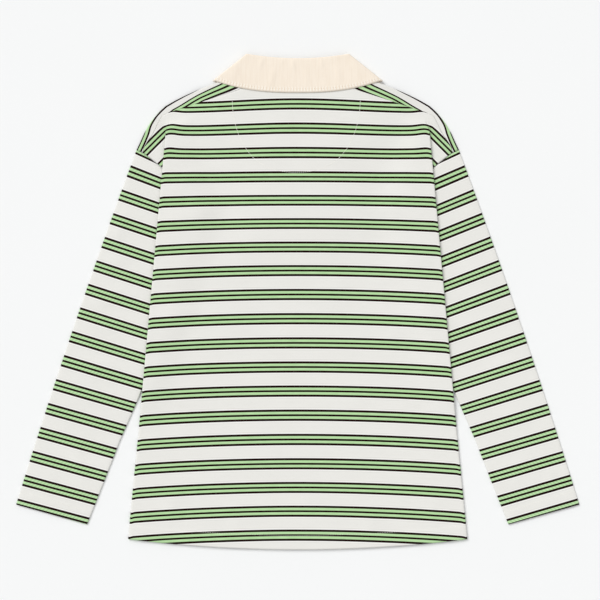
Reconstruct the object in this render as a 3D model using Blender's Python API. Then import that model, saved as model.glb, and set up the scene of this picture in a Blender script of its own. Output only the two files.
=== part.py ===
"""A long-sleeved striped polo shirt, laid flat on its front with its back up.

Metres, +Z up. The neck points towards +Y and the hem towards -Y. X = 0 is the middle of the
back, and Z = 0 is the surface that the shirt lies on. Every piece is a wall of cloth: a middle
surface, worked out from the sizes below, and a Solidify modifier that gives it its thickness.
"""

import math

import bmesh
import bpy
import numpy as np

JERSEY_WALL = 0.0012
TWILL_WALL = 0.0012
FACING_WALL = 0.0010
SEAM_GAP = 0.0003

# Heights of the middle of each layer over the surface, away from the neck
FRONT_LEVEL = JERSEY_WALL / 2
SLEEVE_TOP_LEVEL = 0.0024
BACK_LEVEL = 0.0036
FACING_LEVEL = (FRONT_LEVEL + BACK_LEVEL) / 2
LAYER_STEP = JERSEY_WALL + SEAM_GAP

# The neck is carried by the collar's leaves, the placket and its buttons
NECK_LIFT = 0.0033
LIFT_EASE_OUT = 0.090
LIFT_END_LOW, LIFT_END_HIGH = 0.125, 0.180
LIFT_WIDENS_UP = 0.170
LIFT_WIDENS_OVER = 0.090
LIFT_FOOT = 0.030
LIFT_EASE_UP = 0.070

# Neck
NECK_HALF = 0.084
BACK_NECK_UP = 0.303
BACK_NECK_RISE = 0.019
BACK_NECK_POWER = 6
FRONT_NECK_DROP = 0.080
SHOULDER_NECK_UP = BACK_NECK_UP + BACK_NECK_RISE

# Body
SIDE_TOP = (0.187, 0.208)
SIDE_SPREAD = 0.0907
HEM_HALF = 0.236
HEM_MIDDLE_UP = -0.3464
HEM_RISE = 0.0146
HEM_BOW_FROM = -0.100
EDGE_EASE = 0.045
ARMPIT = (0.1424, 0.1264)
SIDE_SEAM_INSIDE = 0.010
SIDE_SEAM_EASE = 0.015
SLEEVE_CLEAR = 0.0015
SLEEVE_LEAVES_BODY_UP = -0.116
BODY_SETTLED_UP = -0.190

# The fold that lays the body's edge over the dropped shoulder
PLEAT_RADIUS = LAYER_STEP / 2

# Sleeve
CUFF_OUTER = (0.3941, -0.2832)
SLEEVE_BOW = 0.0036
SLEEVE_HEAD_CLEAR = 2 * SEAM_GAP

# Collar
COLLAR_TOP_HALF = 0.0700
COLLAR_TOP_UP = 0.3400
COLLAR_CORNER_RISE = 0.0060
COLLAR_TIP = (0.1160, 0.3095)
COLLAR_EDGE_UP = 0.2930
COLLAR_EDGE_POWER = 2.5
LEAF_POINT = (0.082, 0.222)
LEAF_END = (0.004, 0.262)

# Half-moon facing
FACING_HALF = 0.0925
FACING_SHOULDER_UP = 0.2846
FACING_DEPTH = 0.1055
FACING_POWER = 2.6
FACING_TOP_UP = 0.3015

# Placket and buttons
PLACKET_WIDTH = 0.032
PLACKET_FOOT_UP = 0.106
PLACKET_WALL = 0.0010
BUTTON_RADIUS = 0.0055
BUTTON_THICK = 0.0016
BUTTON_SIDES = 24
BUTTON_UPS = (0.228, 0.176, 0.124)

ECRU = (0.84, 0.83, 0.79, 1.0)
CREAM = (0.92, 0.84, 0.72, 1.0)
PEARL = (0.90, 0.89, 0.85, 1.0)


def table(names, *rows):
    """Named columns of a short table."""
    return dict(zip(names.split(), np.array(rows, float).T))


# The yoke's back seam, from the neck to the armhole
YOKE_SEAM = table(
    "out up",
    (0.0660, 0.3065),
    (0.0840, 0.2965),
    (0.1387, 0.2790),
    (0.1564, 0.2734),
    (0.1788, 0.2664),
    (0.1900, 0.2615),
    (0.1946, 0.2533),
    (0.1985, 0.2445),
    (0.2035, 0.2350),
    (0.2108, 0.2250),
    (0.2155, 0.2170),
    (0.2172, 0.2099),
)
PLEAT_START = 5  # the row of YOKE_SEAM where the body's edge fold begins

# The fold along the top of the shoulder, from the neck to the armhole
SHOULDER = table(
    "out up",
    (0.0862, 0.3190),
    (0.1000, 0.3130),
    (0.1140, 0.3068),
    (0.1267, 0.3020),
    (0.1428, 0.2955),
    (0.1589, 0.2885),
    (0.1729, 0.2815),
    (0.1850, 0.2745),
    (0.1930, 0.2672),
    (0.1992, 0.2600),
    (0.2052, 0.2525),
    (0.2100, 0.2450),
    (0.2150, 0.2360),
    (0.2190, 0.2270),
    (0.2255, 0.2132),
)

# The armhole seam, from the shoulder to the armpit
ARMHOLE = table(
    "out up",
    (0.2255, 0.2132),
    (0.2166, 0.2095),
    (0.2096, 0.2044),
    (0.1984, 0.1957),
    (0.1879, 0.1873),
    (0.1720, 0.1680),
    (0.1560, 0.1460),
    ARMPIT,
)
YOKE_END_ON_ARMHOLE = 0.075  # the share of the armhole seam that the yoke takes

# The sleeve's inner edge, from the armpit to the cuff
SLEEVE_INNER = table(
    "out up",
    (0.1440, 0.1250),
    (0.1580, 0.0700),
    (0.1760, 0.0080),
    (0.1970, -0.0600),
    (0.2162, -0.1160),
    (0.2247, -0.1368),
    (0.2492, -0.1928),
    (0.2709, -0.2488),
    (0.2955, -0.3108),
)

# Sections of the edge fold down to the armpit: its height, how far the cloth turns, and how
# far it then runs back under
PLEAT = table(
    "up turn run",
    (0.2615, 0, 0.0000),
    (0.2545, 50, 0.0015),
    (0.2465, 100, 0.0012),
    (0.2380, 150, 0.0012),
    (0.2290, 180, 0.0040),
    (0.2150, 180, 0.0105),
    (0.2010, 180, 0.0170),
    (0.1873, 180, 0.0230),
    (0.1680, 180, 0.0330),
    (0.1460, 180, 0.0440),
    (0.1264, 180, 0.0560),
)

# Sections of the body below the armpit
BODY_UPS = (
    0.118, 0.108, 0.082, 0.050, 0.018, -0.016, -0.050, -0.084, -0.116,
    -0.150, -0.190, -0.230, -0.270, -0.308, HEM_MIDDLE_UP,
)  # fmt: skip


def smooth(t):
    """0 up to 0, 1 from 1 on, and an even ease between."""
    t = np.clip(t, 0, 1)
    return t * t * (3 - 2 * t)


def at_share(line, share):
    """Points of a table's line at these shares of its length, as (out, up)."""
    steps = np.hypot(np.diff(line["out"]), np.diff(line["up"]))
    run = np.concatenate([[0], np.cumsum(steps)]) / steps.sum()
    return np.stack([np.interp(share, run, line["out"]), np.interp(share, run, line["up"])], -1)


def neck_lift(out, up):
    """How far the neck's layers are lifted: all of it in the middle, easing out and down."""
    wide = smooth((up - LIFT_WIDENS_UP) / LIFT_WIDENS_OVER)
    end = LIFT_END_LOW + (LIFT_END_HIGH - LIFT_END_LOW) * wide
    across = smooth((end - np.abs(out)) / LIFT_EASE_OUT)
    return NECK_LIFT * across * smooth((up - LIFT_FOOT) / LIFT_EASE_UP)


def side_edge(up):
    """How far out the body's edge lies: a straight line that spreads towards the hem."""
    return SIDE_TOP[0] + SIDE_SPREAD * (SIDE_TOP[1] - np.asarray(up, float))


def sleeve_inner(up):
    """How far out the sleeve's inner edge lies at this height."""
    return np.interp(-np.asarray(up, float), -SLEEVE_INNER["up"], SLEEVE_INNER["out"])


def below_armpit(up):
    """0 at the armpit and 1 from a short way below it."""
    return smooth((ARMPIT[1] - np.asarray(up, float)) / SIDE_SEAM_EASE)


def side_seam(up):
    """How far out the side seam lies, under the body: just inside the sleeve's inner edge."""
    inner = np.minimum(sleeve_inner(up), side_edge(up))
    return inner - SIDE_SEAM_INSIDE * below_armpit(up)


def back_neck(out):
    """The back neck seam: level in the middle, turning up steeply to the shoulder."""
    return BACK_NECK_UP + BACK_NECK_RISE * (np.abs(out) / NECK_HALF) ** BACK_NECK_POWER


def front_neck(out):
    """The front neck seam: a quarter of an ellipse on each side of the leaves' gap."""
    across = np.clip((np.abs(out) - LEAF_END[0]) / (NECK_HALF - LEAF_END[0]), 0, 1)
    return SHOULDER_NECK_UP - FRONT_NECK_DROP * np.sqrt(1 - across**2)


def front_neck_out(up):
    """How far out the front neck seam lies at this height."""
    down = (SHOULDER_NECK_UP - up) / FRONT_NECK_DROP
    return LEAF_END[0] + (NECK_HALF - LEAF_END[0]) * np.sqrt(1 - down**2)


def hem_bow(out, up):
    """How far a line across the body rises at its ends, growing to the hem's own curve."""
    grown = smooth((HEM_BOW_FROM - up) / (HEM_BOW_FROM - HEM_MIDDLE_UP))
    return HEM_RISE * grown * (out / HEM_HALF) ** 2


def front_level(out, up):
    """The middle of the front's wall."""
    return FRONT_LEVEL + neck_lift(out, up)


def back_level(out, up, edge_level, edge):
    """The middle of the back's wall: level inside, easing to edge_level over the last stretch."""
    inside = smooth((edge - np.abs(out)) / EDGE_EASE)
    return edge_level + (BACK_LEVEL - edge_level + neck_lift(out, up)) * inside


def material(name, colour, roughness):
    made = bpy.data.materials.new(name)
    made.use_nodes = True
    shader = made.node_tree.nodes["Principled BSDF"]
    shader.inputs["Base Color"].default_value = colour
    shader.inputs["Roughness"].default_value = roughness
    shader.inputs["Metallic"].default_value = 0.0
    made.diffuse_color = colour
    return made


def grid_faces(rows, columns, ring=False, used=None):
    """The four corners of each cell of a grid, leaving out those where used is false."""
    index = np.arange(rows * columns).reshape(rows, columns)
    if ring:
        index = np.concatenate([index, index[:, :1]], 1)
    cells = np.stack([index[:-1, :-1], index[:-1, 1:], index[1:, 1:], index[1:, :-1]], -1)
    return (cells.reshape(-1, 4) if used is None else cells[used]).tolist()


def cloth(name, points, look, wall=JERSEY_WALL, ring=False, used=None, flip=False):
    """A wall of cloth round a grid of points (rows, columns, 3)."""
    rows, columns = points.shape[:2]
    faces = grid_faces(rows, columns, ring, used)
    if flip:
        faces = [face[::-1] for face in faces]
    mesh = bpy.data.meshes.new(name)
    mesh.from_pydata(points.reshape(-1, 3).tolist(), [], faces)
    piece = bpy.data.objects.new(name, mesh)
    bpy.context.scene.collection.objects.link(piece)
    loose = set(range(rows * columns)) - {corner for face in faces for corner in face}
    if loose:
        remove_loose(mesh, loose)
    mesh.shade_smooth()
    mesh.materials.append(look)
    solidify = piece.modifiers.new("wall", "SOLIDIFY")
    solidify.thickness = wall
    solidify.offset = 0
    solidify.use_quality_normals = True
    return piece


def remove_loose(mesh, loose):
    """Removes the grid's points that no cell uses."""
    work = bmesh.new()
    work.from_mesh(mesh)
    work.verts.ensure_lookup_table()
    bmesh.ops.delete(work, geom=[work.verts[point] for point in loose], context="VERTS")
    work.to_mesh(mesh)
    work.free()


def mirrored(points):
    """The same piece on the other side."""
    return points * np.array([-1, 1, 1])


def both_halves(half):
    """A whole width from its +X half, whose first column is the middle."""
    return np.concatenate([mirrored(half[:, :0:-1]), half], 1)


# Back panel

ACROSS = np.array([0, 0.07, 0.16, 0.25, 0.35, 0.47, 0.61, 0.73, 0.83, 0.91, 0.965, 1.0])
TURN_STEPS = 4
UNDER = np.array([0.45, 0.88, 0.94, 1.0])
DROP = np.array([0.2, 0.4, 0.6, 0.8, 1.0])


def turn(radius, degrees, way):
    """An arc from level: (out, up) of each step, turning down (way -1) first."""
    angles = np.radians(degrees) * np.arange(1, TURN_STEPS + 1) / TURN_STEPS
    return radius * np.sin(angles), way * radius * (1 - np.cos(angles))


def pleat_section(edge, turned, run):
    """The folded stretch of a section, outwards and down from the body's edge."""
    radius = PLEAT_RADIUS
    first_out, first_down = turn(radius, turned, -1)
    angle = math.radians(turned)
    start = edge - radius * math.sin(min(angle, math.pi / 2))
    out = start + first_out
    along = run * UNDER
    out = np.concatenate([out, out[-1] + along * math.cos(angle)])
    down = np.concatenate([first_down, first_down[-1] - along * math.sin(angle)])
    back_angles = np.radians(turned) * (1 - np.arange(1, TURN_STEPS + 1) / TURN_STEPS)
    second_out = radius * (math.sin(angle) - np.sin(back_angles))
    second_down = radius * (np.cos(angle) - np.cos(back_angles))
    out = np.concatenate([out, out[-1] + second_out])
    down = np.concatenate([down, down[-1] + second_down])
    return start, out, down


def seam_top(out):
    """The back panel's upper edge: the neck, then the yoke seam up to the edge fold."""
    row = YOKE_SEAM["out"][: PLEAT_START + 1], YOKE_SEAM["up"][: PLEAT_START + 1]
    return np.where(out < YOKE_SEAM["out"][0], back_neck(out), np.interp(out, *row))


def drop_row(share, crease, level, armhole_end):
    """The dropped shoulder from the fold's crease to the armhole seam."""
    fade = (1 - share) ** 2
    plan = []
    for axis, name in enumerate(("out", "up")):
        seam = YOKE_SEAM[name][PLEAT_START:]
        on_seam = np.interp(DROP, np.linspace(0, 1, len(seam)), seam)
        bulge = on_seam - (seam[0] + (seam[-1] - seam[0]) * DROP)
        plan.append(crease[axis] + (armhole_end[axis] - crease[axis]) * DROP + fade * bulge)
    return np.stack([*plan, np.full(len(DROP), level)], -1)


def back_half():
    """The +X half of the back: rows from the neck to the hem, columns from the middle out."""
    rows = []
    top_up, armpit_up = PLEAT["up"][0], PLEAT["up"][-1]
    for up, turned, run in zip(PLEAT["up"], PLEAT["turn"], PLEAT["run"]):
        share = (top_up - up) / (top_up - armpit_up)
        start, out, down = pleat_section(side_edge(up), turned, run)
        fold_ups = np.full(len(out), up)
        if not turned:
            start = YOKE_SEAM["out"][PLEAT_START - 1]
            shares = np.arange(1, len(out) + 1) / len(out)
            out = start + (YOKE_SEAM["out"][PLEAT_START] - start) * shares
            fold_ups = seam_top(out)
        edge_level = SLEEVE_TOP_LEVEL - down[-1]
        across = start * ACROSS
        top = seam_top(YOKE_SEAM["out"][PLEAT_START - 1] * ACROSS)
        ups = top + (armpit_up - top) * share
        level = back_level(across, ups, edge_level, start)
        panel = np.stack([across, ups, level], -1)
        fold = np.stack([out, fold_ups, edge_level + down], -1)
        end = at_share(ARMHOLE, YOKE_END_ON_ARMHOLE + (1 - YOKE_END_ON_ARMHOLE) * share)
        end = end - np.array([SEAM_GAP, 0])
        drop = drop_row(share, (out[-1], up), SLEEVE_TOP_LEVEL, end)
        rows.append(np.concatenate([panel, fold, drop]))
    for up in BODY_UPS:
        raised = smooth((up - BODY_SETTLED_UP) / (SLEEVE_LEAVES_BODY_UP - BODY_SETTLED_UP))
        edge_level = BACK_LEVEL + (SLEEVE_TOP_LEVEL + 2 * LAYER_STEP - BACK_LEVEL) * raised
        under_level = FRONT_LEVEL + (SLEEVE_TOP_LEVEL + LAYER_STEP - FRONT_LEVEL) * raised
        radius = (edge_level - under_level) / 2
        start = side_edge(up) - radius
        across = start * ACROSS
        level = back_level(across, up, edge_level, start)
        panel = np.stack([across, up + hem_bow(across, up), level], -1)
        arc_out, arc_down = turn(radius, 180, -1)
        seam = side_seam(up) + SEAM_GAP
        knee = max(min(start - radius, sleeve_inner(up) - SLEEVE_CLEAR), seam)
        under = np.array([(start + knee) / 2, knee, (knee + seam) / 2, seam])
        dip = (under_level - FRONT_LEVEL) * below_armpit(up)
        under_height = under_level - dip * np.array([0, 0, 0.5, 1])
        out = np.concatenate([start + arc_out, under])
        height = np.concatenate([edge_level + arc_down, under_height])
        fold = np.stack([out, up + hem_bow(out, up), height], -1)
        spare = np.repeat(fold[-1:], TURN_STEPS + len(DROP), 0)
        rows.append(np.concatenate([panel, fold, spare]))
    return np.array(rows)


def back_panel(look):
    half = back_half()
    whole = both_halves(half)
    rows, columns = whole.shape[:2]
    spare = TURN_STEPS + len(DROP)
    used = np.ones((rows - 1, columns - 1), bool)
    used[len(PLEAT["up"]) - 1 :, :spare] = False
    used[len(PLEAT["up"]) - 1 :, -spare:] = False
    return cloth("back_panel", whole, look, used=used)


# The collar's lines, which the front's neck follows

COLLAR_QUARTER = np.array([0, 0.10, 0.25, 0.45, 0.65, 0.85, 1.0])
FALL = np.array([0, 0.3, 0.6, 0.85, 1.0])
STAND = np.array([0.5, 1.0])
COLLAR_BACK_CLEAR = 3 * SEAM_GAP
COLLAR_FRONT_CLEAR = 2 * SEAM_GAP
COLLAR_LEAST_LIFT = 0.0015
STAND_HALF_TURN = (BACK_LEVEL - FRONT_LEVEL) / 2
FALL_HALF_TURN = STAND_HALF_TURN + LAYER_STEP


def collar_line(share, back):
    """Three points of the collar's section: outer edge, roll line and neck seam, (out, up).

    The share runs from the shoulder to the middle back, or to the middle front.
    """
    if back:
        left = 1 - share
        roll = (COLLAR_TOP_HALF * left, COLLAR_TOP_UP + COLLAR_CORNER_RISE * left**2)
        rise = (COLLAR_TIP[1] - COLLAR_EDGE_UP) * left**COLLAR_EDGE_POWER
        edge = (COLLAR_TIP[0] * left, COLLAR_EDGE_UP + rise)
        neck_out = NECK_HALF * left
        neck = (neck_out, back_neck(neck_out) + COLLAR_BACK_CLEAR)
    else:
        angle = share * math.pi / 2
        top = COLLAR_TOP_UP + COLLAR_CORNER_RISE
        roll_out = LEAF_END[0] + (COLLAR_TOP_HALF - LEAF_END[0]) * math.cos(angle)
        roll = (roll_out, top - (top - LEAF_END[1]) * math.sin(angle))
        edge = tuple(a + (b - a) * share for a, b in zip(COLLAR_TIP, LEAF_POINT))
        neck_out = LEAF_END[0] + (NECK_HALF - LEAF_END[0]) * math.cos(angle)
        neck = (neck_out, SHOULDER_NECK_UP - FRONT_NECK_DROP * math.sin(angle) + COLLAR_FRONT_CLEAR)
    return np.array(edge), np.array(roll), np.array(neck)


# Front panel

FRONT_ACROSS = np.array([0.37, 0.46, 0.56, 0.68, 0.78, 0.86, 0.93, 1.0])
FRONT_TOP_SHARES = np.array([0, 0.17, 0.35, 0.53, 0.7, 0.86, 1.0])


def front_top(out):
    """The front panel's upper edge: the neck, then the yoke's front seam to the armhole."""
    neck_end = YOKE_SEAM["out"][1]
    seam = np.interp(out, YOKE_SEAM["out"][1:], YOKE_SEAM["up"][1:])
    return np.where(out < neck_end, np.minimum(front_neck(out), seam), seam)


def front_panel(look):
    """The front: flat on the surface but for the neck, with its side seams under the back."""
    rows = []
    armhole_top = at_share(ARMHOLE, YOKE_END_ON_ARMHOLE)[0] - SEAM_GAP
    neck = [collar_line(share, False)[2][0] / armhole_top for share in COLLAR_QUARTER[:1:-1]]
    columns = np.concatenate([[0], neck, FRONT_ACROSS])
    for share in FRONT_TOP_SHARES:
        end = at_share(ARMHOLE, YOKE_END_ON_ARMHOLE + (1 - YOKE_END_ON_ARMHOLE) * share)
        out = (end[0] - SEAM_GAP) * columns
        top = front_top(armhole_top * columns) - SEAM_GAP
        up = top + (ARMPIT[1] - top) * share
        up = up + (end[1] - up[-1]) * columns**4
        rows.append(np.stack([out, up, front_level(out, up)], -1))
    for up in BODY_UPS:
        out = side_seam(up) * columns
        ups = up + hem_bow(out, up)
        rows.append(np.stack([out, ups, front_level(out, ups)], -1))
    return cloth("front_panel", both_halves(np.array(rows)), look, flip=True)


# Yokes

YOKE_STEPS = 3  # stations between the seam's first few rows
YOKE_ACROSS = np.array([0, 0.4, 0.75, 1.0])
YOKE_BACK_CLEAR = 3 * SEAM_GAP
YOKE_NECK_CLEAR = 2 * SEAM_GAP
YOKE_NECK_FRONT = 0.955 * NECK_HALF  # where the front seam meets the neck, out from the middle


def yoke_half():
    """A strip over the shoulder: back seam, shoulder fold, front seam, at each station."""
    run = np.hypot(np.diff(YOKE_SEAM["out"]), np.diff(YOKE_SEAM["up"]))
    ends = np.concatenate([[0], np.cumsum(run) / run.sum()])
    ends[-1] = 1
    middle = np.linspace(ends[1], ends[2], YOKE_STEPS + 1)[1:-1]
    stations = np.sort(np.concatenate([ends, middle]))
    seam = at_share(YOKE_SEAM, stations)
    fold = at_share(SHOULDER, stations)
    away = fold - seam
    away /= np.linalg.norm(away, axis=1, keepdims=True)
    pleat_out = YOKE_SEAM["out"][PLEAT_START - 1]
    front = seam.copy()
    front[0] = (YOKE_NECK_FRONT, front_neck(YOKE_NECK_FRONT))
    rows = []
    for station in range(len(stations)):
        back_edge = seam[station] + YOKE_BACK_CLEAR * away[station]
        crest = fold[station]
        front_edge = front[station] + SEAM_GAP * away[station]
        low = float(front_level(*crest))
        high = float(back_level(crest[0], crest[1], SLEEVE_TOP_LEVEL, pleat_out))
        radius = (high - low) / 2
        crest = crest - radius * away[station]
        back = back_edge + (crest - back_edge) * YOKE_ACROSS[:, None]
        if station == 0:
            back[:, 1] = back_neck(back[:, 0]) + SEAM_GAP
            back[-1] = crest
        under = front_edge + (crest - front_edge) * YOKE_ACROSS[::-1, None]
        if station == 0:
            under[1:, 0] = front_neck_out(under[1:, 1]) + YOKE_NECK_CLEAR
        arc_out, arc_down = turn(radius, 180, -1)
        bend = crest + arc_out[:-1, None] * away[station]
        top = back_level(back[:, 0], back[:, 1], SLEEVE_TOP_LEVEL, pleat_out)
        top[-1] = high
        bottom = front_level(under[:, 0], under[:, 1])
        bottom[0] = low
        height = np.concatenate([top, high + arc_down[:-1], bottom])
        plan = np.concatenate([back, bend, under])
        rows.append(np.concatenate([plan, height[:, None]], 1))
    return np.array(rows)


# Sleeves

SLEEVE_ALONG = np.array(
    [0, 0.03, 0.07, 0.12, 0.18, 0.25, 0.33, 0.41, 0.49, 0.57, 0.65, 0.73, 0.81, 0.88, 0.94, 1.0]
)
SLEEVE_ACROSS = np.array([0, 0.12, 0.28, 0.44, 0.60, 0.76, 0.90, 1.0])
ARMHOLE_FADE = 0.30
ARMHOLE_EASE = 0.88  # how much of the seam's curve is left just below it


def sleeve_half():
    """A flattened tube, as rings: the top layer in, round the inner edge, and back under."""
    armhole = at_share(ARMHOLE, SLEEVE_ACROSS)
    chord = armhole[0] + (armhole[-1] - armhole[0]) * SLEEVE_ACROSS[:, None]
    radius = (SLEEVE_TOP_LEVEL - FRONT_LEVEL) / 2
    middle = (SLEEVE_TOP_LEVEL + FRONT_LEVEL) / 2
    inner_edge = at_share(SLEEVE_INNER, SLEEVE_ALONG)
    start = np.array([ARMHOLE["out"][0], ARMHOLE["up"][0]])
    run = np.array(CUFF_OUTER) - start
    down = run / np.linalg.norm(run)
    side = np.array([-down[1], down[0]])
    bow = SLEEVE_BOW * 4 * SLEEVE_ALONG * (1 - SLEEVE_ALONG)
    outer_edge = start + run * SLEEVE_ALONG[:, None] + side * bow[:, None]
    rings = []
    for station, share in enumerate(SLEEVE_ALONG):
        outer, inner = outer_edge[station], inner_edge[station]
        across = (inner - outer) / np.linalg.norm(inner - outer)
        outer = outer + across * radius
        inner = inner - across * radius
        plan = outer + (inner - outer) * SLEEVE_ACROSS[:, None]
        fade = (1 - smooth(share / ARMHOLE_FADE)) * (ARMHOLE_EASE if share else 1)
        plan = plan + (armhole - chord) * fade
        if share == 0:
            plan = plan + down * SLEEVE_HEAD_CLEAR
        angles = np.pi * np.arange(1, TURN_STEPS) / TURN_STEPS
        inner_bend = plan[-1] + across * radius * np.sin(angles)[:, None]
        outer_bend = plan[0] - across * radius * np.sin(angles)[:, None]
        layers = (
            (plan, np.full(len(plan), SLEEVE_TOP_LEVEL)),
            (inner_bend, middle + radius * np.cos(angles)),
            (plan[::-1], np.full(len(plan), FRONT_LEVEL)),
            (outer_bend, middle - radius * np.cos(angles)),
        )
        rings.append(
            np.concatenate([np.concatenate([at, height[:, None]], 1) for at, height in layers])
        )
    return np.array(rings)


# Collar

def collar_row(share, back, turned):
    """One section: up the fall, over the roll line and down the stand.

    turned is the angle round the side fold: 90 degrees on the back, -90 on the front.
    """
    edge, roll, neck = collar_line(share, back)
    fall = edge + (roll - edge) * FALL[:, None]
    stand = roll + (neck - roll) * STAND[:, None]
    angles = np.pi * np.arange(1, TURN_STEPS) / TURN_STEPS
    bend_radius = LAYER_STEP / 2
    bend = np.stack([np.full(len(angles), roll[0]), roll[1] + bend_radius * np.sin(angles)], -1)
    depth = np.concatenate(
        [
            np.full(len(fall), FALL_HALF_TURN),
            FALL_HALF_TURN - bend_radius * (1 - np.cos(angles)),
            np.full(len(stand) + 1, STAND_HALF_TURN),
        ]
    )
    plan = np.concatenate([fall, bend, roll[None], stand])
    out = plan[:, 0] + depth * math.cos(turned)
    centre = (FRONT_LEVEL + BACK_LEVEL) / 2
    lift = np.maximum(neck_lift(plan[:, 0], np.minimum(plan[:, 1], SHOULDER_NECK_UP)), COLLAR_LEAST_LIFT)
    height = centre + lift + depth * math.sin(turned)
    return np.stack([out, plan[:, 1], height], -1)


def collar(look):
    """The whole collar, from the left leaf round the back to the right leaf."""
    side_turns = np.radians([60, 30, 0, -30, -60])
    half = [collar_row(1 - share, True, math.pi / 2) for share in 1 - COLLAR_QUARTER[::-1]]
    half += [collar_row(0, True, angle) for angle in side_turns]
    half += [collar_row(share, False, -math.pi / 2) for share in COLLAR_QUARTER]
    rows = np.array(half).transpose(1, 0, 2)
    return cloth("collar", both_halves(rows), look, wall=TWILL_WALL)


# Half-moon facing inside the back neck

FACING_DOWN = np.linspace(0, 1, 6)
FACING_END = 0.995  # just short of the half moon's point
FACING_ACROSS = np.sin(np.linspace(0, math.pi / 2, 9)) * FACING_END


def facing(look):
    """A half moon under the back, from the neck seam down."""
    out = FACING_HALF * FACING_ACROSS
    drop = np.sqrt(1 - FACING_ACROSS**FACING_POWER)
    foot = FACING_SHOULDER_UP - FACING_DEPTH * drop
    up = FACING_TOP_UP + (foot - FACING_TOP_UP) * FACING_DOWN[:, None]
    out = np.broadcast_to(out, up.shape)
    points = np.stack([out, up, FACING_LEVEL + neck_lift(out, up)], -1)
    return cloth("neck_facing", both_halves(points), look, wall=FACING_WALL)


# Placket and buttons, under the front

PLACKET_ACROSS = np.array([0, 0.5, 1.0])
PLACKET_DOWN = np.linspace(0, 1, 8)


def placket(look):
    """A strip on the front's outer face, from the neck seam to its foot."""
    out = PLACKET_WIDTH / 2 * PLACKET_ACROSS
    top = front_neck(out) - SEAM_GAP
    up = top + (PLACKET_FOOT_UP - top) * PLACKET_DOWN[:, None]
    out = np.broadcast_to(out, up.shape)
    below = JERSEY_WALL / 2 + SEAM_GAP + PLACKET_WALL / 2
    points = np.stack([out, up, front_level(out, up) - below], -1)
    return cloth("placket", both_halves(points), look, wall=PLACKET_WALL, flip=True)


# (share of the radius, share of the thickness from the back) round a button's section
BUTTON_PROFILE = ((0.93, 0), (1, 0.4), (0.95, 1), (0.82, 1), (0.73, 0.75))


def button(name, up, look):
    """A dished disc with a raised rim, turned face down under the placket."""
    back = float(front_level(0, up)) - JERSEY_WALL / 2 - 2 * SEAM_GAP - PLACKET_WALL
    angles = 2 * math.pi * np.arange(BUTTON_SIDES) / BUTTON_SIDES
    points = []
    for width, depth in BUTTON_PROFILE:
        radius = BUTTON_RADIUS * width
        height = np.full(BUTTON_SIDES, back - BUTTON_THICK * depth)
        ring = np.stack([radius * np.cos(angles), up + radius * np.sin(angles), height], -1)
        points.extend(ring.tolist())
    faces = grid_faces(len(BUTTON_PROFILE), BUTTON_SIDES, ring=True)
    last = (len(BUTTON_PROFILE) - 1) * BUTTON_SIDES
    faces.append(list(range(BUTTON_SIDES))[::-1])
    faces.append(list(range(last, last + BUTTON_SIDES)))
    mesh = bpy.data.meshes.new(name)
    mesh.from_pydata(points, [], [face[::-1] for face in faces])
    mesh.materials.append(look)
    piece = bpy.data.objects.new(name, mesh)
    bpy.context.scene.collection.objects.link(piece)
    return piece


def build():
    for old in list(bpy.data.objects):
        bpy.data.objects.remove(old, do_unlink=True)
    jersey = material("striped_jersey", ECRU, 0.9)
    twill = material("collar_twill", CREAM, 0.85)
    pearl = material("button_pearl", PEARL, 0.35)
    back_panel(jersey)
    front_panel(jersey)
    yoke, sleeve = yoke_half(), sleeve_half()
    cloth("yoke_right", yoke, jersey)
    cloth("yoke_left", mirrored(yoke), jersey, flip=True)
    cloth("sleeve_right", sleeve, jersey, ring=True)
    cloth("sleeve_left", mirrored(sleeve), jersey, ring=True, flip=True)
    collar(twill)
    facing(jersey)
    placket(jersey)
    for number, up in enumerate(BUTTON_UPS, 1):
        button(f"button_{number}", up, pearl)


build()
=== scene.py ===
"""Looks of a long-sleeved striped polo shirt, laid flat on its front with its back up."""

import math

import bpy
import numpy as np
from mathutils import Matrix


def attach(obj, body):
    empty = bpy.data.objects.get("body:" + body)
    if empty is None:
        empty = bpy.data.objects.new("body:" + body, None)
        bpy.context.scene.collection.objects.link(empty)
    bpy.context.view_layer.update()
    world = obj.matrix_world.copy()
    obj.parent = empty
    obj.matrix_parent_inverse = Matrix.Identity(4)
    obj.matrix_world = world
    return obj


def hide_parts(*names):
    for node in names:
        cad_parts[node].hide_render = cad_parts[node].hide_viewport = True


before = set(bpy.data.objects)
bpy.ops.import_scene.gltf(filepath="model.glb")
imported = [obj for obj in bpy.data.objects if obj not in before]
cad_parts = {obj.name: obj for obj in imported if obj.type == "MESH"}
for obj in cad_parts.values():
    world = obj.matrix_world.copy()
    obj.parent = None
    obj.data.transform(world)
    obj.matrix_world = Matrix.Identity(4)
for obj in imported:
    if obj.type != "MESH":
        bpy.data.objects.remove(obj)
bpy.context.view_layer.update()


# Floor, light and camera.
# A pale floor under soft studio light, seen from straight above as the photograph shows it.

def linear(red, green, blue, level=1.0):
    """An sRGB colour out of 255 as the linear colour that nodes take, divided by the light."""
    share = np.array([red, green, blue]) / 255
    low, high = share / 12.92, ((share + 0.055) / 1.055) ** 2.4
    return (*(np.where(share <= 0.04045, low, high) / level).tolist(), 1.0)


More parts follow.
